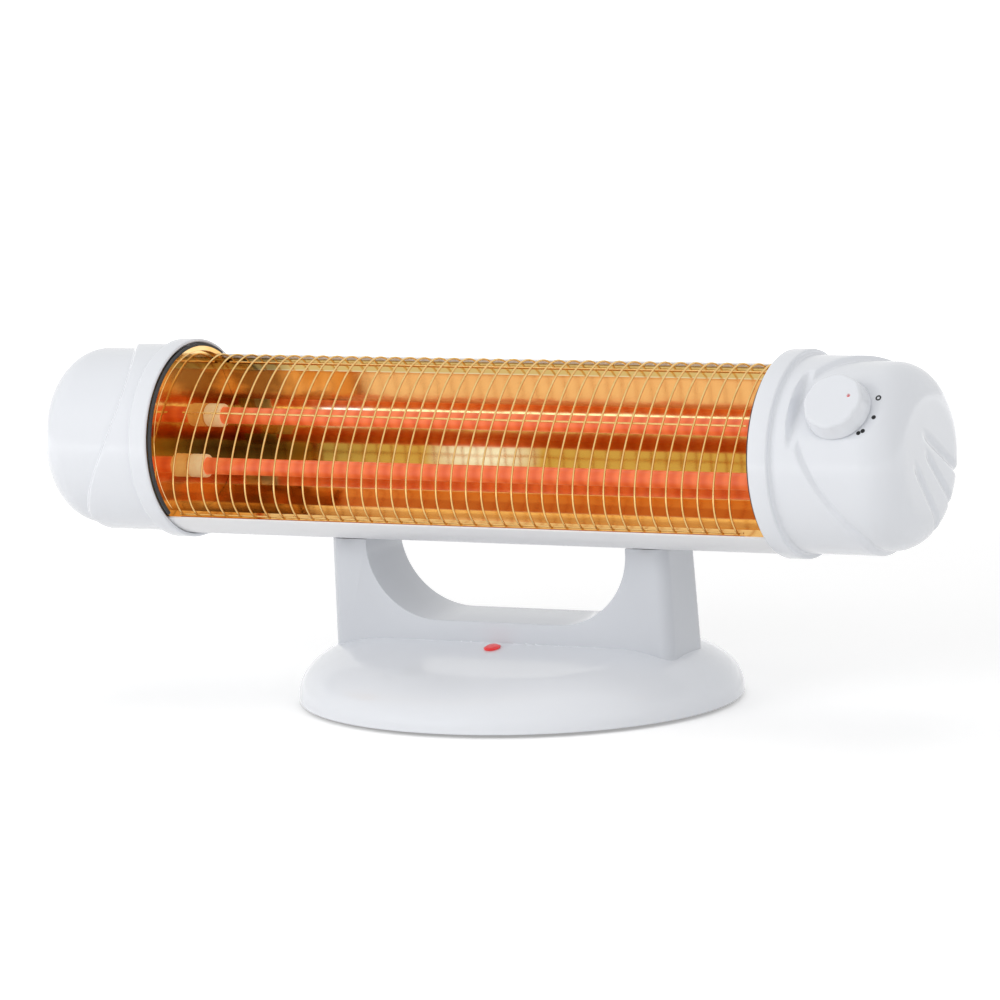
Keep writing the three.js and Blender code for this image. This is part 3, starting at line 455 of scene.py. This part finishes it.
WHITE = glossy_plastic("white_gloss", (0.80, 0.82, 0.86), 0.2)
GREY = glossy_plastic("light_grey_gloss", (0.595, 0.615, 0.655), 0.26)
BLACK = matt_plastic("black_matt", (0.02, 0.02, 0.022))
PRINT = matt_plastic("black_print", (0.006, 0.006, 0.007))
PAINT = painted_sheet("white_paint", (0.88, 0.88, 0.89))
GOLD = mirror_gold("gold_mirror")
TROUGH = trough_gold("gold_trough")
WIRES = plated_wire("gold_wire")
QUARTZ = glowing_quartz("glowing_quartz")
WINDING = glowing_winding("glowing_winding")
CERAMIC = glazed_ceramic("cream_ceramic")
STEEL = worked_metal("plated_steel", (0.62, 0.63, 0.65), 0.28)
BRASS = worked_metal("turned_brass", (0.72, 0.52, 0.22), 0.3)
RUBBER = soft_rubber("dark_rubber", (0.075, 0.078, 0.082))
RED = clear_red("red_lens")

SLOT_LOOKS = {
    "white_plastic": WHITE,
    "grey_plastic": GREY,
    "black_plastic": BLACK,
    "dark_rubber": RUBBER,
    "white_paint": PAINT,
    "gold_reflector": GOLD,
    "gold_wire": WIRES,
    "quartz_glass": QUARTZ,
    "heating_winding": WINDING,
    "cream_ceramic": CERAMIC,
    "plated_steel": STEEL,
    "brass": BRASS,
    "red_lens": RED,
}

# ------------------------------------------------------------------ mesh makers


def make_piece(name, points, faces, look, body, stands_for=(), turn=None, sharp=35):
    """A mesh piece from points in millimetres, in the object's frame or turned into it."""
    mesh = bpy.data.meshes.new(name)
    placed = [(turn @ Vector(p) if turn else Vector(p)) * MM for p in points]
    mesh.from_pydata(placed, [], faces)
    mesh.validate()
    mesh.materials.append(look)
    for face in mesh.polygons:
        face.use_smooth = True
    mesh.set_sharp_from_angle(angle=sharp * DEGREE)
    piece = bpy.data.objects.new(name, mesh)
    bpy.context.collection.objects.link(piece)
    face_out(mesh)
    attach(piece, body)
    if stands_for:
        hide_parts(*stands_for)
    return piece


def face_out(mesh):
    """Turns every face outwards by the sign of the volume."""
    volume = 0
    for face in mesh.polygons:
        corners = [mesh.vertices[i].co for i in face.vertices]
        for i in range(1, len(corners) - 1):
            volume += corners[0].dot(corners[i].cross(corners[i + 1]))
    if volume < 0:
        mesh.flip_normals()


def skin(rings, closed_ends=True):
    """Quads between rings of points, with a fan at each end."""
    count = len(rings[0])
    points = [p for ring in rings for p in ring]
    faces = []
    for r in range(len(rings) - 1):
        for i in range(count):
            j = (i + 1) % count
            faces.append((r * count + i, r * count + j, (r + 1) * count + j, (r + 1) * count + i))
    if closed_ends:
        for r, order in ((0, -1), (len(rings) - 1, 1)):
            middle = sum((Vector(p) for p in rings[r]), Vector()) / count
            points.append(tuple(middle))
            for i in range(count):
                pair = (r * count + i, r * count + (i + 1) % count)
                faces.append((*pair[::order], len(points) - 1))
    return points, faces


def lathe_rings(profile, segments, wobble=None):
    """Rings round +Z through pairs of radius and height."""
    rings = []
    for radius, height in profile:
        ring = []
        for i in range(segments):
            turn = 2 * math.pi * i / segments
            reach = radius * (wobble(turn, height) if wobble else 1)
            ring.append((reach * math.cos(turn), reach * math.sin(turn), height))
        rings.append(ring)
    return rings


def around(angle, radius):
    """(y, z) round the drum's axis: 0 degrees is straight out of the mouth, 90 is up."""
    return -radius * math.cos(angle * DEGREE), radius * math.sin(angle * DEGREE)


def smooth_step(value):
    value = min(max(value, 0), 1)
    return value * value * (3 - 2 * value)


# ------------------------------------------------------------------ end caps


def step_place(angle):
    """How far along the cap its S-shaped step lies, at an angle round the drum."""
    away = abs((angle + 180) % 360 - 180)
    along = STEP_NEAREST + STEP_SWING * (1 - math.cos(min(away * STEP_RATE, 180) * DEGREE))
    return min(along, CAP_LENGTH - CAP_ROUND - STEP_WIDTH)


def spread(start, end, count):
    """Pairs from start towards end, the end left out."""
    pairs = []
    for i in range(count):
        share = i / count
        pairs.append((start[0] + (end[0] - start[0]) * share, start[1] + (end[1] - start[1]) * share))
    return pairs


def quarter(middle, radius, steps, start=0):
    """Points of a quarter circle round a middle, both as (along, radius)."""
    turns = [(start + 90 * i / steps) * DEGREE for i in range(steps + 1)]
    return [(middle[0] + radius * math.sin(turn), middle[1] + radius * math.cos(turn)) for turn in turns]


def cap_outline(angle):
    """Outer profile of a cap from its mouth to the middle of its end, as (along, radius)."""
    step = step_place(angle)
    edge = 1.2
    foot = 1.6
    outline = quarter((edge, COLLAR - edge), edge, 4, -90)
    outline += quarter((COLLAR_WIDTH - edge, COLLAR - edge), edge, 4)
    for i in range(5):
        turn = i * 22.5 * DEGREE
        outline.append((COLLAR_WIDTH + foot * (1 - math.cos(turn)), RAISED + foot * (1 - math.sin(turn))))
    step_from = step - STEP_WIDTH / 2
    outline += spread((COLLAR_WIDTH + foot + 0.2, RAISED), (step_from, RAISED), 12)
    for i in range(9):
        share = i / 8
        outline.append((step_from + STEP_WIDTH * share, RAISED + (BODY - RAISED) * smooth_step(share)))
    body_from = step + STEP_WIDTH / 2 + 0.3
    round_from = CAP_LENGTH - CAP_ROUND
    flat = BODY - CAP_ROUND
    outline += spread((body_from, BODY), (round_from, BODY), 24)
    outline += quarter((round_from, flat), CAP_ROUND, 18)
    outline += [(CAP_LENGTH, flat * (1 - i / 27)) for i in range(1, 27)]
    return outline


def cap_inside():
    """Inner profile of a cap from the middle of its end to its mouth, as (along, radius)."""
    bore = DRUM + 0.3
    seat = 8.3
    inner = BODY - WALL
    rounding = CAP_ROUND - WALL
    deep = CAP_LENGTH - WALL
    outline = [(deep, (inner - rounding) * share) for share in (0.05, 0.5)]
    outline += quarter((deep - rounding, inner - rounding), rounding, 8)[::-1]
    outline += [(30, inner), (seat + 4, inner), (seat, inner + 2)]
    return outline + [(seat, bore), (0.6, bore), (0.2, bore + 0.4)]


def panel_depth(along, inner):
    """How far forward the cap's skin may reach here: the flat panel, or no limit."""
    plane = PANEL - (WALL if inner else 0)
    return plane + (COLLAR + 5 - plane) * (1 - smooth_step((along - PANEL_FROM) / 8))


# Three slanting grooves across the right cap's end: (forward, up) of the front and rear ends.
GROOVES = ((19, 6, -46, 14), (10, 0, -48, -7), (19, -13, -42, -27))
GROOVE_DEPTH = 2.1
GROOVE_WIDTH = 3.6


def groove_depth(forward, up):
    """Depth of the grooves at a place seen along the drum."""
    depth = 0
    for front, front_up, rear, rear_up in GROOVES:
        run, rise = rear - front, rear_up - front_up
        share = ((forward - front) * run + (up - front_up) * rise) / (run * run + rise * rise)
        share = min(max(share, 0), 1)
        away = math.hypot(forward - front - run * share, up - front_up - rise * share)
        depth = max(depth, GROOVE_DEPTH * smooth_step(share * 4) * smooth_step(1 - away / GROOVE_WIDTH))
    return depth


def grooved(angle, along, radius):
    """Pushes a point of the rounded end in along its normal where a groove passes."""
    past = along - (CAP_LENGTH - CAP_ROUND)
    if past <= 0:
        return along, radius
    depth = groove_depth(radius * math.cos(angle * DEGREE), radius * math.sin(angle * DEGREE))
    depth *= smooth_step(past / 8)
    lean = math.asin(min(past / CAP_ROUND, 1))
    return along - depth * math.sin(lean), radius - depth * math.cos(lean)


def make_cap(name, side, panel):
    count = 288
    columns = []
    for i in range(count):
        angle = 360 * i / count - 180
        inside = [(along, radius, True) for along, radius in cap_inside()]
        outside = [(along, radius, False) for along, radius in cap_outline(angle)]
        column = []
        for along, radius, inner in inside + outside:
            if panel and not inner:
                along, radius = grooved(angle, along, radius)
            y, z = around(angle, radius)
            if panel:
                y = max(y, -panel_depth(along, inner))
            column.append((side * (MOUTH + along), y, z))
        columns.append(column)
    rings = [[column[r] for column in columns] for r in range(len(columns[0]))]
    points, faces = skin(rings)
    return make_piece(name, points, faces, WHITE, "head", (name,), HEAD, 50)


make_cap("left_end_cap", -1, False)
make_cap("right_end_cap", 1, True)

# ------------------------------------------------------------------ knob and its marks


def out_of_panel(along, up=0):
    """Places a piece drawn up +Z so that it stands out of the panel."""
    return HEAD @ Matrix.Translation((along, 0, up)) @ Matrix.Rotation(math.pi / 2, 4, "X")


def knob_outline():
    """The knob's profile as (radius, height), from the middle of its open foot to that of its top."""
    foot, top = KNOB_FOOT, KNOB_FOOT + KNOB_HEIGHT
    outline = [(0.01, foot + 3), (8, foot + 3), (8.5, foot + 2.6), (8.5, foot), (KNOB_RADIUS - 0.6, foot)]
    outline += [(KNOB_RADIUS, foot + 0.6), (KNOB_RADIUS - 0.1, foot + 1.6)]
    edge = 2.2
    outline += [(KNOB_RADIUS - 0.6, foot + 5), (KNOB_TOP_RADIUS + 0.15, top - edge - 0.8)]
    for i in range(9):
        turn = i * 11.25 * DEGREE
        outline.append((KNOB_TOP_RADIUS - edge * (1 - math.cos(turn)), top - edge * (1 - math.sin(turn))))
    outline += [(12, top), (6, top), (0.01, top)]
    return outline


def knob_lobes(turn, height):
    """Eight shallow finger flats, which fade out towards the foot and the middle."""
    lift = smooth_step((height - KNOB_FOOT - 1.5) / 5)
    return 1 - 0.03 * lift * (0.5 - 0.5 * math.cos(8 * turn)) ** 2


def make_knob():
    points, faces = skin(lathe_rings(knob_outline(), 128, knob_lobes))
    turn = out_of_panel(KNOB)
    make_piece("knob", points, faces, WHITE, "knob", ("control_knob",), turn, 50)


def make_disc(name, radius, low, high, look, body, along, up, stands_for=(), hole=0):
    """A disc, or a ring round a hole, that lies on the panel or the knob."""
    rim = min(0.15, (high - low) / 3)
    outline = [(0.001, low), (radius, low), (radius, high - rim), (radius - rim, high), (0.001, high)]
    if hole:
        outline = [(hole, low), (radius, low), (radius, high), (hole, high), (hole, low)]
    points, faces = skin(lathe_rings(outline, 40), not hole)
    make_piece(name, points, faces, look, body, stands_for, out_of_panel(along, up))


def make_marks():
    """Printed marks beside the knob: a ring for off, one dot and two dots for the two powers."""
    marks = (
        ("mark_off", 23.3, 22, 1.7, 0.85),
        ("mark_one", 22.2, -9.5, 1.3, 0),
        ("mark_two_near", 21.5, -35.6, 1.3, 0),
        ("mark_two_far", 20.6, -42.5, 1.3, 0),
    )
    low, high = PANEL + 0.02, PANEL + 0.12
    for name, reach, angle, radius, hole in marks:
        along, up = KNOB + reach * math.cos(angle * DEGREE), reach * math.sin(angle * DEGREE)
        make_disc(name, radius, low, high, PRINT, "head", along, up, (), hole)
    top = KNOB_FOOT + KNOB_HEIGHT
    along, up = KNOB + 10 * math.cos(18 * DEGREE), 10 * math.sin(18 * DEGREE)
    # The printed pointer dot takes the red lens's look, whose emission gives the dot a faint painted glow.
    make_disc("pointer_dot", 1.2, top - 1.2, top, RED, "knob", along, up, ("knob_dot",))


make_knob()
make_marks()

# ------------------------------------------------------------------ housing


def grid_sheet(stations, angles, is_hole, radius, thick):
    """A bent sheet with holes: cells of a grid, outside and inside, and the walls of every edge."""
    rows, columns = len(stations), len(angles)
    points = []
    for layer in (radius, radius - thick):
        for x in stations:
            for angle in angles:
                points.append((x, *around(angle, layer)))
    shift = rows * columns
    solid = {
        (r, c)
        for r in range(rows - 1)
        for c in range(columns - 1)
        if not is_hole((stations[r] + stations[r + 1]) / 2, (angles[c] + angles[c + 1]) / 2)
    }
    faces = []
    for r, c in solid:
        a = r * columns + c
        b, d, e = a + 1, a + columns + 1, a + columns
        faces.append((a, b, d, e))
        faces.append((e + shift, d + shift, b + shift, a + shift))
        sides = ((a, b, r - 1, c), (b, d, r, c + 1), (d, e, r + 1, c), (e, a, r, c - 1))
        for p, q, row, column in sides:
            if (row, column) not in solid:
                faces.append((q, p, p + shift, q + shift))
    return points, faces


def make_housing():
    """The painted sheet round the drum's back, with two rows of vents and a tilt slot over each arm."""
    half = MOUTH + 8
    last_angle = 360 - MOUTH_ANGLE
    slot_from, slot_to = (360 + angle for angle in SLOT_SWEEP)
    vent_places = [(i - VENT_COUNT // 2) * VENT_PITCH for i in range(VENT_COUNT)]
    vents = [(x - VENT_HALF, x + VENT_HALF) for x in vent_places]
    slots = [(x - SLOT_HALF, x + SLOT_HALF) for x in (-SLOT_ALONG, SLOT_ALONG)]
    angles = {MOUTH_ANGLE + i * 1.5 for i in range(125)}
    angles |= {angle for row in VENT_ROWS for angle in row}
    angles |= {slot_from, slot_to, last_angle}
    angles = sorted(angle for angle in angles if angle <= last_angle)
    stations = sorted({-half, half} | {x for pair in vents + slots for x in pair})

    def is_hole(x, angle):
        in_vent = any(a < x < b for a, b in vents) and any(a < angle < b for a, b in VENT_ROWS)
        in_slot = any(a < x < b for a, b in slots) and slot_from < angle < slot_to
        return in_vent or in_slot

    points, faces = grid_sheet(stations, angles, is_hole, DRUM, SHEET)
    make_piece("housing", points, faces, PAINT, "head", ("housing_shell",), HEAD, 40)


make_housing()

# ------------------------------------------------------------------ reflector and mouth rims

# The upper half of the trough's inner line, as (back, up) seen along the drum.
TROUGH_HALF = ((0, 55.9), (0, 55), (-2, 49), (-22, 40.4), (-36, 24), (-42, 8))
TROUGH_SHEET = 0.8


def make_reflector():
    """The folded trough: its inner line, thickened backwards and drawn along the drum."""
    inner = [Vector((-forward, up)) for forward, up in TROUGH_HALF]
    inner += [Vector((p.x, -p.y)) for p in reversed(inner)]
    outer = []
    for i, p in enumerate(inner):
        along = (inner[min(i + 1, len(inner) - 1)] - inner[max(i - 1, 0)]).normalized()
        outer.append(p + Vector((-along.y, along.x)) * TROUGH_SHEET)
    outer[0] = inner[0] + Vector((TROUGH_SHEET, 0))
    outer[-1] = inner[-1] + Vector((TROUGH_SHEET, 0))
    section = inner + outer[::-1]
    count = len(section)
    stations = [(MOUTH + 0.15) * (i / 20 - 1) for i in range(41)]
    points = [(x, p.x, p.y) for x in stations for p in section]
    faces = []
    for r in range(len(stations) - 1):
        for i in range(count):
            j = (i + 1) % count
            faces.append((r * count + i, r * count + j, (r + 1) * count + j, (r + 1) * count + i))
    last = (len(stations) - 1) * count
    for i in range(len(inner) - 1):
        strip = (i, i + 1, count - 2 - i, count - 1 - i)
        faces.append(strip[::-1])
        faces.append(tuple(k + last for k in strip))
    make_piece("trough", points, faces, TROUGH, "head", ("reflector",), HEAD, 8)


def make_band(name, x_low, x_high, inner, outer, look, stands_for=()):
    """A stretch of ring round the mouth."""
    reach = MOUTH_ANGLE - 3
    edge = 0.25
    section = [(x_low, inner + edge), (x_low + edge, inner)]
    section += [(x_high, inner), (x_high, outer), (x_low, outer)]
    rings = []
    for i in range(97):
        angle = -reach + 2 * reach * i / 96
        rings.append([(x, *around(angle, radius)) for x, radius in section])
    points, faces = skin(rings)
    make_piece(name, points, faces, look, "head", stands_for, HEAD, 40)


def make_rims():
    """A dark rubber band round each mouth, where the frame has its mouth gasket, as painted shade for the
    side plate's flanged edge seen in shadow there; and the gold edge of the side plate inside it.
    """
    for name, side in (("left", -1), ("right", 1)):
        low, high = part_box(f"mouth_gasket_{name}")
        near, far = sorted((low.x / MM, high.x / MM), key=abs)
        node = f"mouth_gasket_{name}"
        # Painted shade: a dark band for the side plate's flanged edge, which lies in shadow.
        make_band(f"gasket_{name}", near, far, 55.4, DRUM - 0.3, RUBBER, (node,))
        make_band(f"plate_edge_{name}", near - side * 0.3, far, 52.4, 55.2, GOLD)


make_reflector()
make_rims()

# ------------------------------------------------------------------ grille


def grille_point(share):
    """(forward, up) of a wire's bow, from its lower end at 0 to its upper one at 1."""
    turn = math.pi * share
    forward = GRILLE_FRONT * max(math.sin(turn), 0) ** (2 / GRILLE_POWER)
    up = -math.copysign(GRILLE_HALF * abs(math.cos(turn)) ** (2 / GRILLE_POWER), math.cos(turn))
    return forward, up


def sweep(path, radius, sides=8):
    """Rings of a round wire along a path that lies in a plane across X, or along X."""
    rings = []
    for i, here in enumerate(path):
        before, after = path[max(i - 1, 0)], path[min(i + 1, len(path) - 1)]
        along = (Vector(after) - Vector(before)).normalized()
        aside = Vector((1, 0, 0)) if abs(along.x) < 0.9 else Vector((0, 1, 0))
        other = along.cross(aside).normalized()
        ring = []
        for s in range(sides):
            turn = 2 * math.pi * s / sides
            off = aside * radius * math.cos(turn) + other * radius * math.sin(turn)
            ring.append(tuple(Vector(here) + off))
        rings.append(ring)
    return rings


def make_grille():
    steps = 48
    bow = [grille_point(i / steps) for i in range(steps + 1)]
    middle = (WIRE_COUNT - 1) / 2
    points, faces = [], []

    def add(rings):
        more_points, more_faces = skin(rings)
        shift = len(points)
        points.extend(more_points)
        faces.extend(tuple(i + shift for i in face) for face in more_faces)

    for w in range(WIRE_COUNT):
        x = GRILLE_SHIFT + (w - middle) * WIRE_PITCH
        add(sweep([(x, -forward, up) for forward, up in bow], WIRE))
    half = middle * WIRE_PITCH + 3
    weld = WIRE * 1.4
    edge = GRILLE_HALF - weld
    for forward, up in ((WIRE, -edge), (GRILLE_FRONT - weld, 0), (WIRE, edge)):
        add(sweep([(GRILLE_SHIFT + x, -forward, up) for x in (-half, 0, half)], WIRE))
    make_piece("grille", points, faces, WIRES, "head", ("wire_grille",), HEAD, 60)


make_grille()

# ------------------------------------------------------------------ tubes and their holders


def on_tube_axis(up, side=1):
    """Places a piece drawn up +Z so that it lies along a tube, towards the right or the left."""
    turned = Matrix.Rotation(side * math.pi / 2, 4, "Y")
    return HEAD @ Matrix.Translation((0, TUBE_BACK, up)) @ turned


def make_tubes():
    for level, up in (("upper", TUBE_SPREAD / 2), ("lower", -TUBE_SPREAD / 2)):
        node = f"quartz_tube_{level}"
        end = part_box(node)[1].x / MM
        rim = TUBE - 0.3
        outline = [(TUBE_BORE, -end), (rim, -end), (TUBE, -end + 0.4), (TUBE, end - 0.4), (rim, end)]
        outline += [(TUBE_BORE, end), (TUBE_BORE, -end)]
        points, faces = skin(lathe_rings(outline, 48), False)
        turn = on_tube_axis(up)
        make_piece(f"glass_tube_{level}", points, faces, QUARTZ, "head", (node,), turn)
        for name, side in (("left", -1), ("right", 1)):
            node = f"tube_holder_{level}_{name}"
            near, far = sorted(abs(corner.x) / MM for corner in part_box(node))
            seat = TUBE + 0.3
            outline = [(seat, near), (6.2, near), (6.8, near + 0.3), (HOLDER, near + 1)]
            outline += [(HOLDER, MOUTH - 0.6), (6.6, MOUTH), (5, MOUTH), (5, far), (1.3, far)]
            outline += [(1.3, near + 8), (seat, near + 8), (seat, near)]
            points, faces = skin(lathe_rings(outline, 48), False)
            turn = on_tube_axis(up, side)
            piece = f"ceramic_{level}_{name}"
            make_piece(piece, points, faces, CERAMIC, "head", (node,), turn)


make_tubes()

# ------------------------------------------------------------------ base


def dome_height(share, turn):
    """Height of the dome, from 1 in its middle to 0 at its rim, fuller at the sides than in front."""
    fullness = FRONT_FULLNESS + (SIDE_FULLNESS - FRONT_FULLNESS) * math.cos(turn) ** 2
    return math.sqrt(max(0, 1 - share ** fullness))


def soft_least(a, b, blend):
    """The lower of two heights, with a soft crease."""
    gap = max(blend - abs(a - b), 0) / blend
    return min(a, b) - gap * gap * blend / 4


def dome_rings(inset, count):
    """Rings of the dome with its sloping leaf in front, from the rim to the middle."""
    shares = [math.sin(math.pi / 2 * (1 - i / 56)) for i in range(56)]
    rise = BASE_TOP - RIM_TOP - inset
    slope = math.tan(LEAF_SLOPE * DEGREE)
    rings = []
    for share in shares:
        ring = []
        for i in range(count):
            turn = 2 * math.pi * i / count
            x = (BASE_LENGTH - inset) * share * math.cos(turn)
            y = (BASE_DEPTH - inset) * share * math.sin(turn)
            z = RIM_TOP + rise * dome_height(share, turn)
            if y < -LEAF_FROM:
                z = soft_least(z, LEAF_HEIGHT - inset - (-y - LEAF_FROM) * slope, 0.8)
            ring.append((x, y, z))
        rings.append(ring)
    return rings


def rim_ring(inset, height, count):
    ring = []
    for i in range(count):
        turn = 2 * math.pi * i / count
        ring.append(((BASE_LENGTH - inset) * math.cos(turn), (BASE_DEPTH - inset) * math.sin(turn), height))
    return ring


def make_base():
    count = 256
    inside = dome_rings(WALL, count)[::-1]
    rim = ((WALL, RIM_LOW + 0.2), (WALL - 0.4, RIM_LOW), (0.5, RIM_LOW), (0.1, RIM_LOW + 0.4))
    rims = [rim_ring(inset, height, count) for inset, height in rim]
    outside = dome_rings(0, count)
    points, faces = skin(inside + rims + outside)
    make_piece("base_dome", points, faces, WHITE, "stand", ("base_cover",), None, 40)


make_base()

# ------------------------------------------------------------------ pedestal


def pedestal_plan():
    """The pedestal's outline at its foot, seen from above, with rounded corners."""
    x = PEDESTAL_HALF + PEDESTAL_FLARE
    y = (PEDESTAL_DEPTH + PEDESTAL_SPLAY) / 2
    corner = PEDESTAL_CORNER
    plan = []
    for cx, cy, start in ((x, y, 0), (-x, y, 90), (-x, -y, 180), (x, -y, 270)):
        for i in range(13):
            turn = (start + i * 7.5) * DEGREE
            mx, my = cx - math.copysign(corner, cx), cy - math.copysign(corner, cy)
            plan.append((mx + corner * math.cos(turn), my + corner * math.sin(turn)))
    return plan


def prism(outline, low, high):
    """A straight block over an outline."""
    count = len(outline)
    points = [(x, y, low) for x, y in outline] + [(x, y, high) for x, y in outline]
    faces = [tuple(range(count))[::-1], tuple(range(count, 2 * count))]
    faces += [(i, (i + 1) % count, count + (i + 1) % count, count + i) for i in range(count)]
    return points, faces


def plain_object(name, points, faces):
    """A helper for the pedestal's cuts, taken away again afterwards."""
    mesh = bpy.data.meshes.new(name)
    mesh.from_pydata([Vector(p) * MM for p in points], [], faces)
    face_out(mesh)
    made = bpy.data.objects.new(name, mesh)
    bpy.context.collection.objects.link(made)
    return made


def arch_outline():
    """The opening of the U, as (along, height)."""
    outline = []
    for i in range(33):
        turn = i / 32 * math.pi / 2
        x = ARCH_FLOOR_HALF + (ARCH_HALF - ARCH_FLOOR_HALF) * math.cos(turn)
        z = ARCH_SHOULDER - (ARCH_SHOULDER - ARCH_FLOOR) * math.sin(turn)
        outline.append((x, z))
    mirrored = [(-x, z) for x, z in outline[::-1]]
    top = PEDESTAL_TOP + 5
    return [(ARCH_HALF, top)] + outline + mirrored + [(-ARCH_HALF, top)]


def make_pedestal():
    points, faces = prism(pedestal_plan(), PEDESTAL_FOOT, PEDESTAL_TOP)
    tapered = []
    for x, y, z in points:
        up = (z - PEDESTAL_FOOT) / (PEDESTAL_TOP - PEDESTAL_FOOT)
        narrow = 1 - PEDESTAL_FLARE * up / (PEDESTAL_HALF + PEDESTAL_FLARE)
        thin = 1 - PEDESTAL_SPLAY * up / (PEDESTAL_DEPTH + PEDESTAL_SPLAY)
        tapered.append((x * narrow, y * thin, z))
    block = plain_object("pedestal_block", tapered, faces)
    arch_points, arch_faces = prism(arch_outline(), -60, 60)
    arch = plain_object("arch_cutter", [(x, y, z) for x, z, y in arch_points], arch_faces)
    turns = [t * math.pi / 90 for t in range(180)]
    circle = [(SADDLE * math.cos(turn), SADDLE * math.sin(turn)) for turn in turns]
    drum_points, drum_faces = prism(circle, -180, 180)
    placed = [(x, y - AXIS_FORWARD, z + AXIS_HEIGHT) for y, z, x in drum_points]
    drum = plain_object("drum_cutter", placed, drum_faces)
    for cutter in (arch, drum):
        cut = block.modifiers.new("cut", "BOOLEAN")
        cut.operation = "DIFFERENCE"
        cut.solver = "EXACT"
        cut.object = cutter
    soft = block.modifiers.new("soft_edges", "BEVEL")
    soft.width = 0.0022
    soft.segments = 4
    soft.limit_method = "ANGLE"
    soft.angle_limit = 38 * DEGREE
    evaluated = block.evaluated_get(bpy.context.evaluated_depsgraph_get())
    mesh = bpy.data.meshes.new_from_object(evaluated)
    points = [tuple(v.co / MM) for v in mesh.vertices]
    faces = [tuple(f.vertices) for f in mesh.polygons]
    for made in (block, arch, drum):
        bpy.data.objects.remove(made)
    make_piece("pedestal_arch", points, faces, GREY, "stand", ("pedestal",), None, 30)


make_pedestal()

# ------------------------------------------------------------------ the frame's own nodes

for node_name, node in frame["nodes"].items():
    slot = next(s["material_slot"] for s in frame["record"]["subparts"] if s["node"] == node_name)
    node.data.materials.clear()
    node.data.materials.append(SLOT_LOOKS[slot])

# ------------------------------------------------------------------ studio

AMBIENT = 0.55  # light from all round on the object
FLOOR_WHITE = 0.32  # white added to the lit floor beside the object; it grows to 1 further off


def seen_directly(shader):
    """1 for what the camera sees, also in metal or through glass, and 0 for light on the object."""
    path = shader.tree.nodes.new("ShaderNodeLightPath")
    kinds = ("Is Camera Ray", "Is Glossy Ray", "Is Transmission Ray")
    camera_ray, glossy_ray, transmission_ray = (Link(shader, path.outputs[kind]) for kind in kinds)
    return (camera_ray + glossy_ray + transmission_ray).clamped()


def make_floor():
    """White floor: a lit diffuse part that takes the shadow, and white added for what is seen."""
    size = 12
    corners = [(-size, -size, 0), (size, -size, 0), (size, size, 0), (-size, size, 0)]
    mesh = bpy.data.meshes.new("studio_floor")
    mesh.from_pydata(corners, [], [(0, 1, 2, 3)])
    shader = Shader("studio_white")
    diffuse = shader.node("ShaderNodeBsdfDiffuse", {}, {"Color": (0.9, 0.9, 0.9)})
    glow = shader.node("ShaderNodeEmission", {}, {"Color": (1, 1, 1), "Strength": 1.0})
    spot = shader.node("ShaderNodeTexCoord", {}, {}, "Object")
    away = shader.node("ShaderNodeVectorMath", {"operation": "LENGTH"}, {0: spot}, "Value")
    share = FLOOR_WHITE + (1 - FLOOR_WHITE) * ((away - 0.5) * 0.8).clamped()
    added = shader.node("ShaderNodeMixShader", {}, {0: share * seen_directly(shader), 2: glow})
    both = shader.node("ShaderNodeAddShader", {}, {0: diffuse, 1: added})
    output = shader.tree.nodes.new("ShaderNodeOutputMaterial")
    shader.tree.links.new(both.socket, output.inputs["Surface"])
    mesh.materials.append(shader.material)
    floor = bpy.data.objects.new("studio_floor", mesh)
    bpy.context.collection.objects.link(floor)


def make_world():
    world = bpy.data.worlds.new("studio")
    bpy.context.scene.world = world
    world.use_nodes = True
    shader = Shader("studio", world.node_tree)
    strength = AMBIENT + (1 - AMBIENT) * seen_directly(shader)
    sky = shader.node("ShaderNodeBackground", {}, {"Color": (1, 1, 1), "Strength": strength})
    output = shader.tree.nodes.new("ShaderNodeOutputWorld")
    shader.tree.links.new(sky.socket, output.inputs["Surface"])


def make_lamp(name, place, aim, size, power):
    lamp = bpy.data.lights.new(name, "AREA")
    lamp.size = size
    lamp.energy = power
    made = bpy.data.objects.new(name, lamp)
    bpy.context.collection.objects.link(made)
    made.location = place
    made.rotation_euler = (Vector(aim) - Vector(place)).to_track_quat("-Z", "Y").to_euler()
    made.visible_glossy = False


def make_camera():
    turn, rise, roll = 29.63 * DEGREE, 10.34 * DEGREE, -3.8 * DEGREE
    distance = 3.2377
    focal_pixels = 5504
    target = Vector((0, 0, 0.1))
    target_pixel = (509.9, 531.4)
    back = Vector((math.sin(turn) * math.cos(rise), -math.cos(turn) * math.cos(rise), math.sin(rise)))
    level_right = Vector((math.cos(turn), math.sin(turn), 0))
    level_up = back.cross(level_right)
    right = math.cos(roll) * level_right + math.sin(roll) * level_up
    up = math.cos(roll) * level_up - math.sin(roll) * level_right
    camera_data = bpy.data.cameras.new("camera")
    camera_data.sensor_width = 36
    camera_data.lens = 36 * focal_pixels / 1000
    camera_data.shift_x = (500 - target_pixel[0]) / 1000
    camera_data.shift_y = (target_pixel[1] - 500) / 1000
    camera = bpy.data.objects.new("camera", camera_data)
    bpy.context.collection.objects.link(camera)
    place = Matrix.Identity(4)
    for column, axis in enumerate((right, up, back)):
        for row in range(3):
            place[row][column] = axis[row]
    place.translation = target + back * distance
    camera.matrix_world = place
    bpy.context.scene.camera = camera


make_floor()
make_world()
make_lamp("key", (-1.6, -2.1, 0.9), (0, 0, 0.12), 2.0, 31)
make_lamp("fill", (2.3, -1.5, 1.0), (0, 0, 0.12), 1.6, 14)
make_lamp("top", (-0.3, 0.4, 2.6), (0, 0, 0.1), 1.6, 8)
make_camera()
bpy.context.scene.view_settings.view_transform = "Standard"
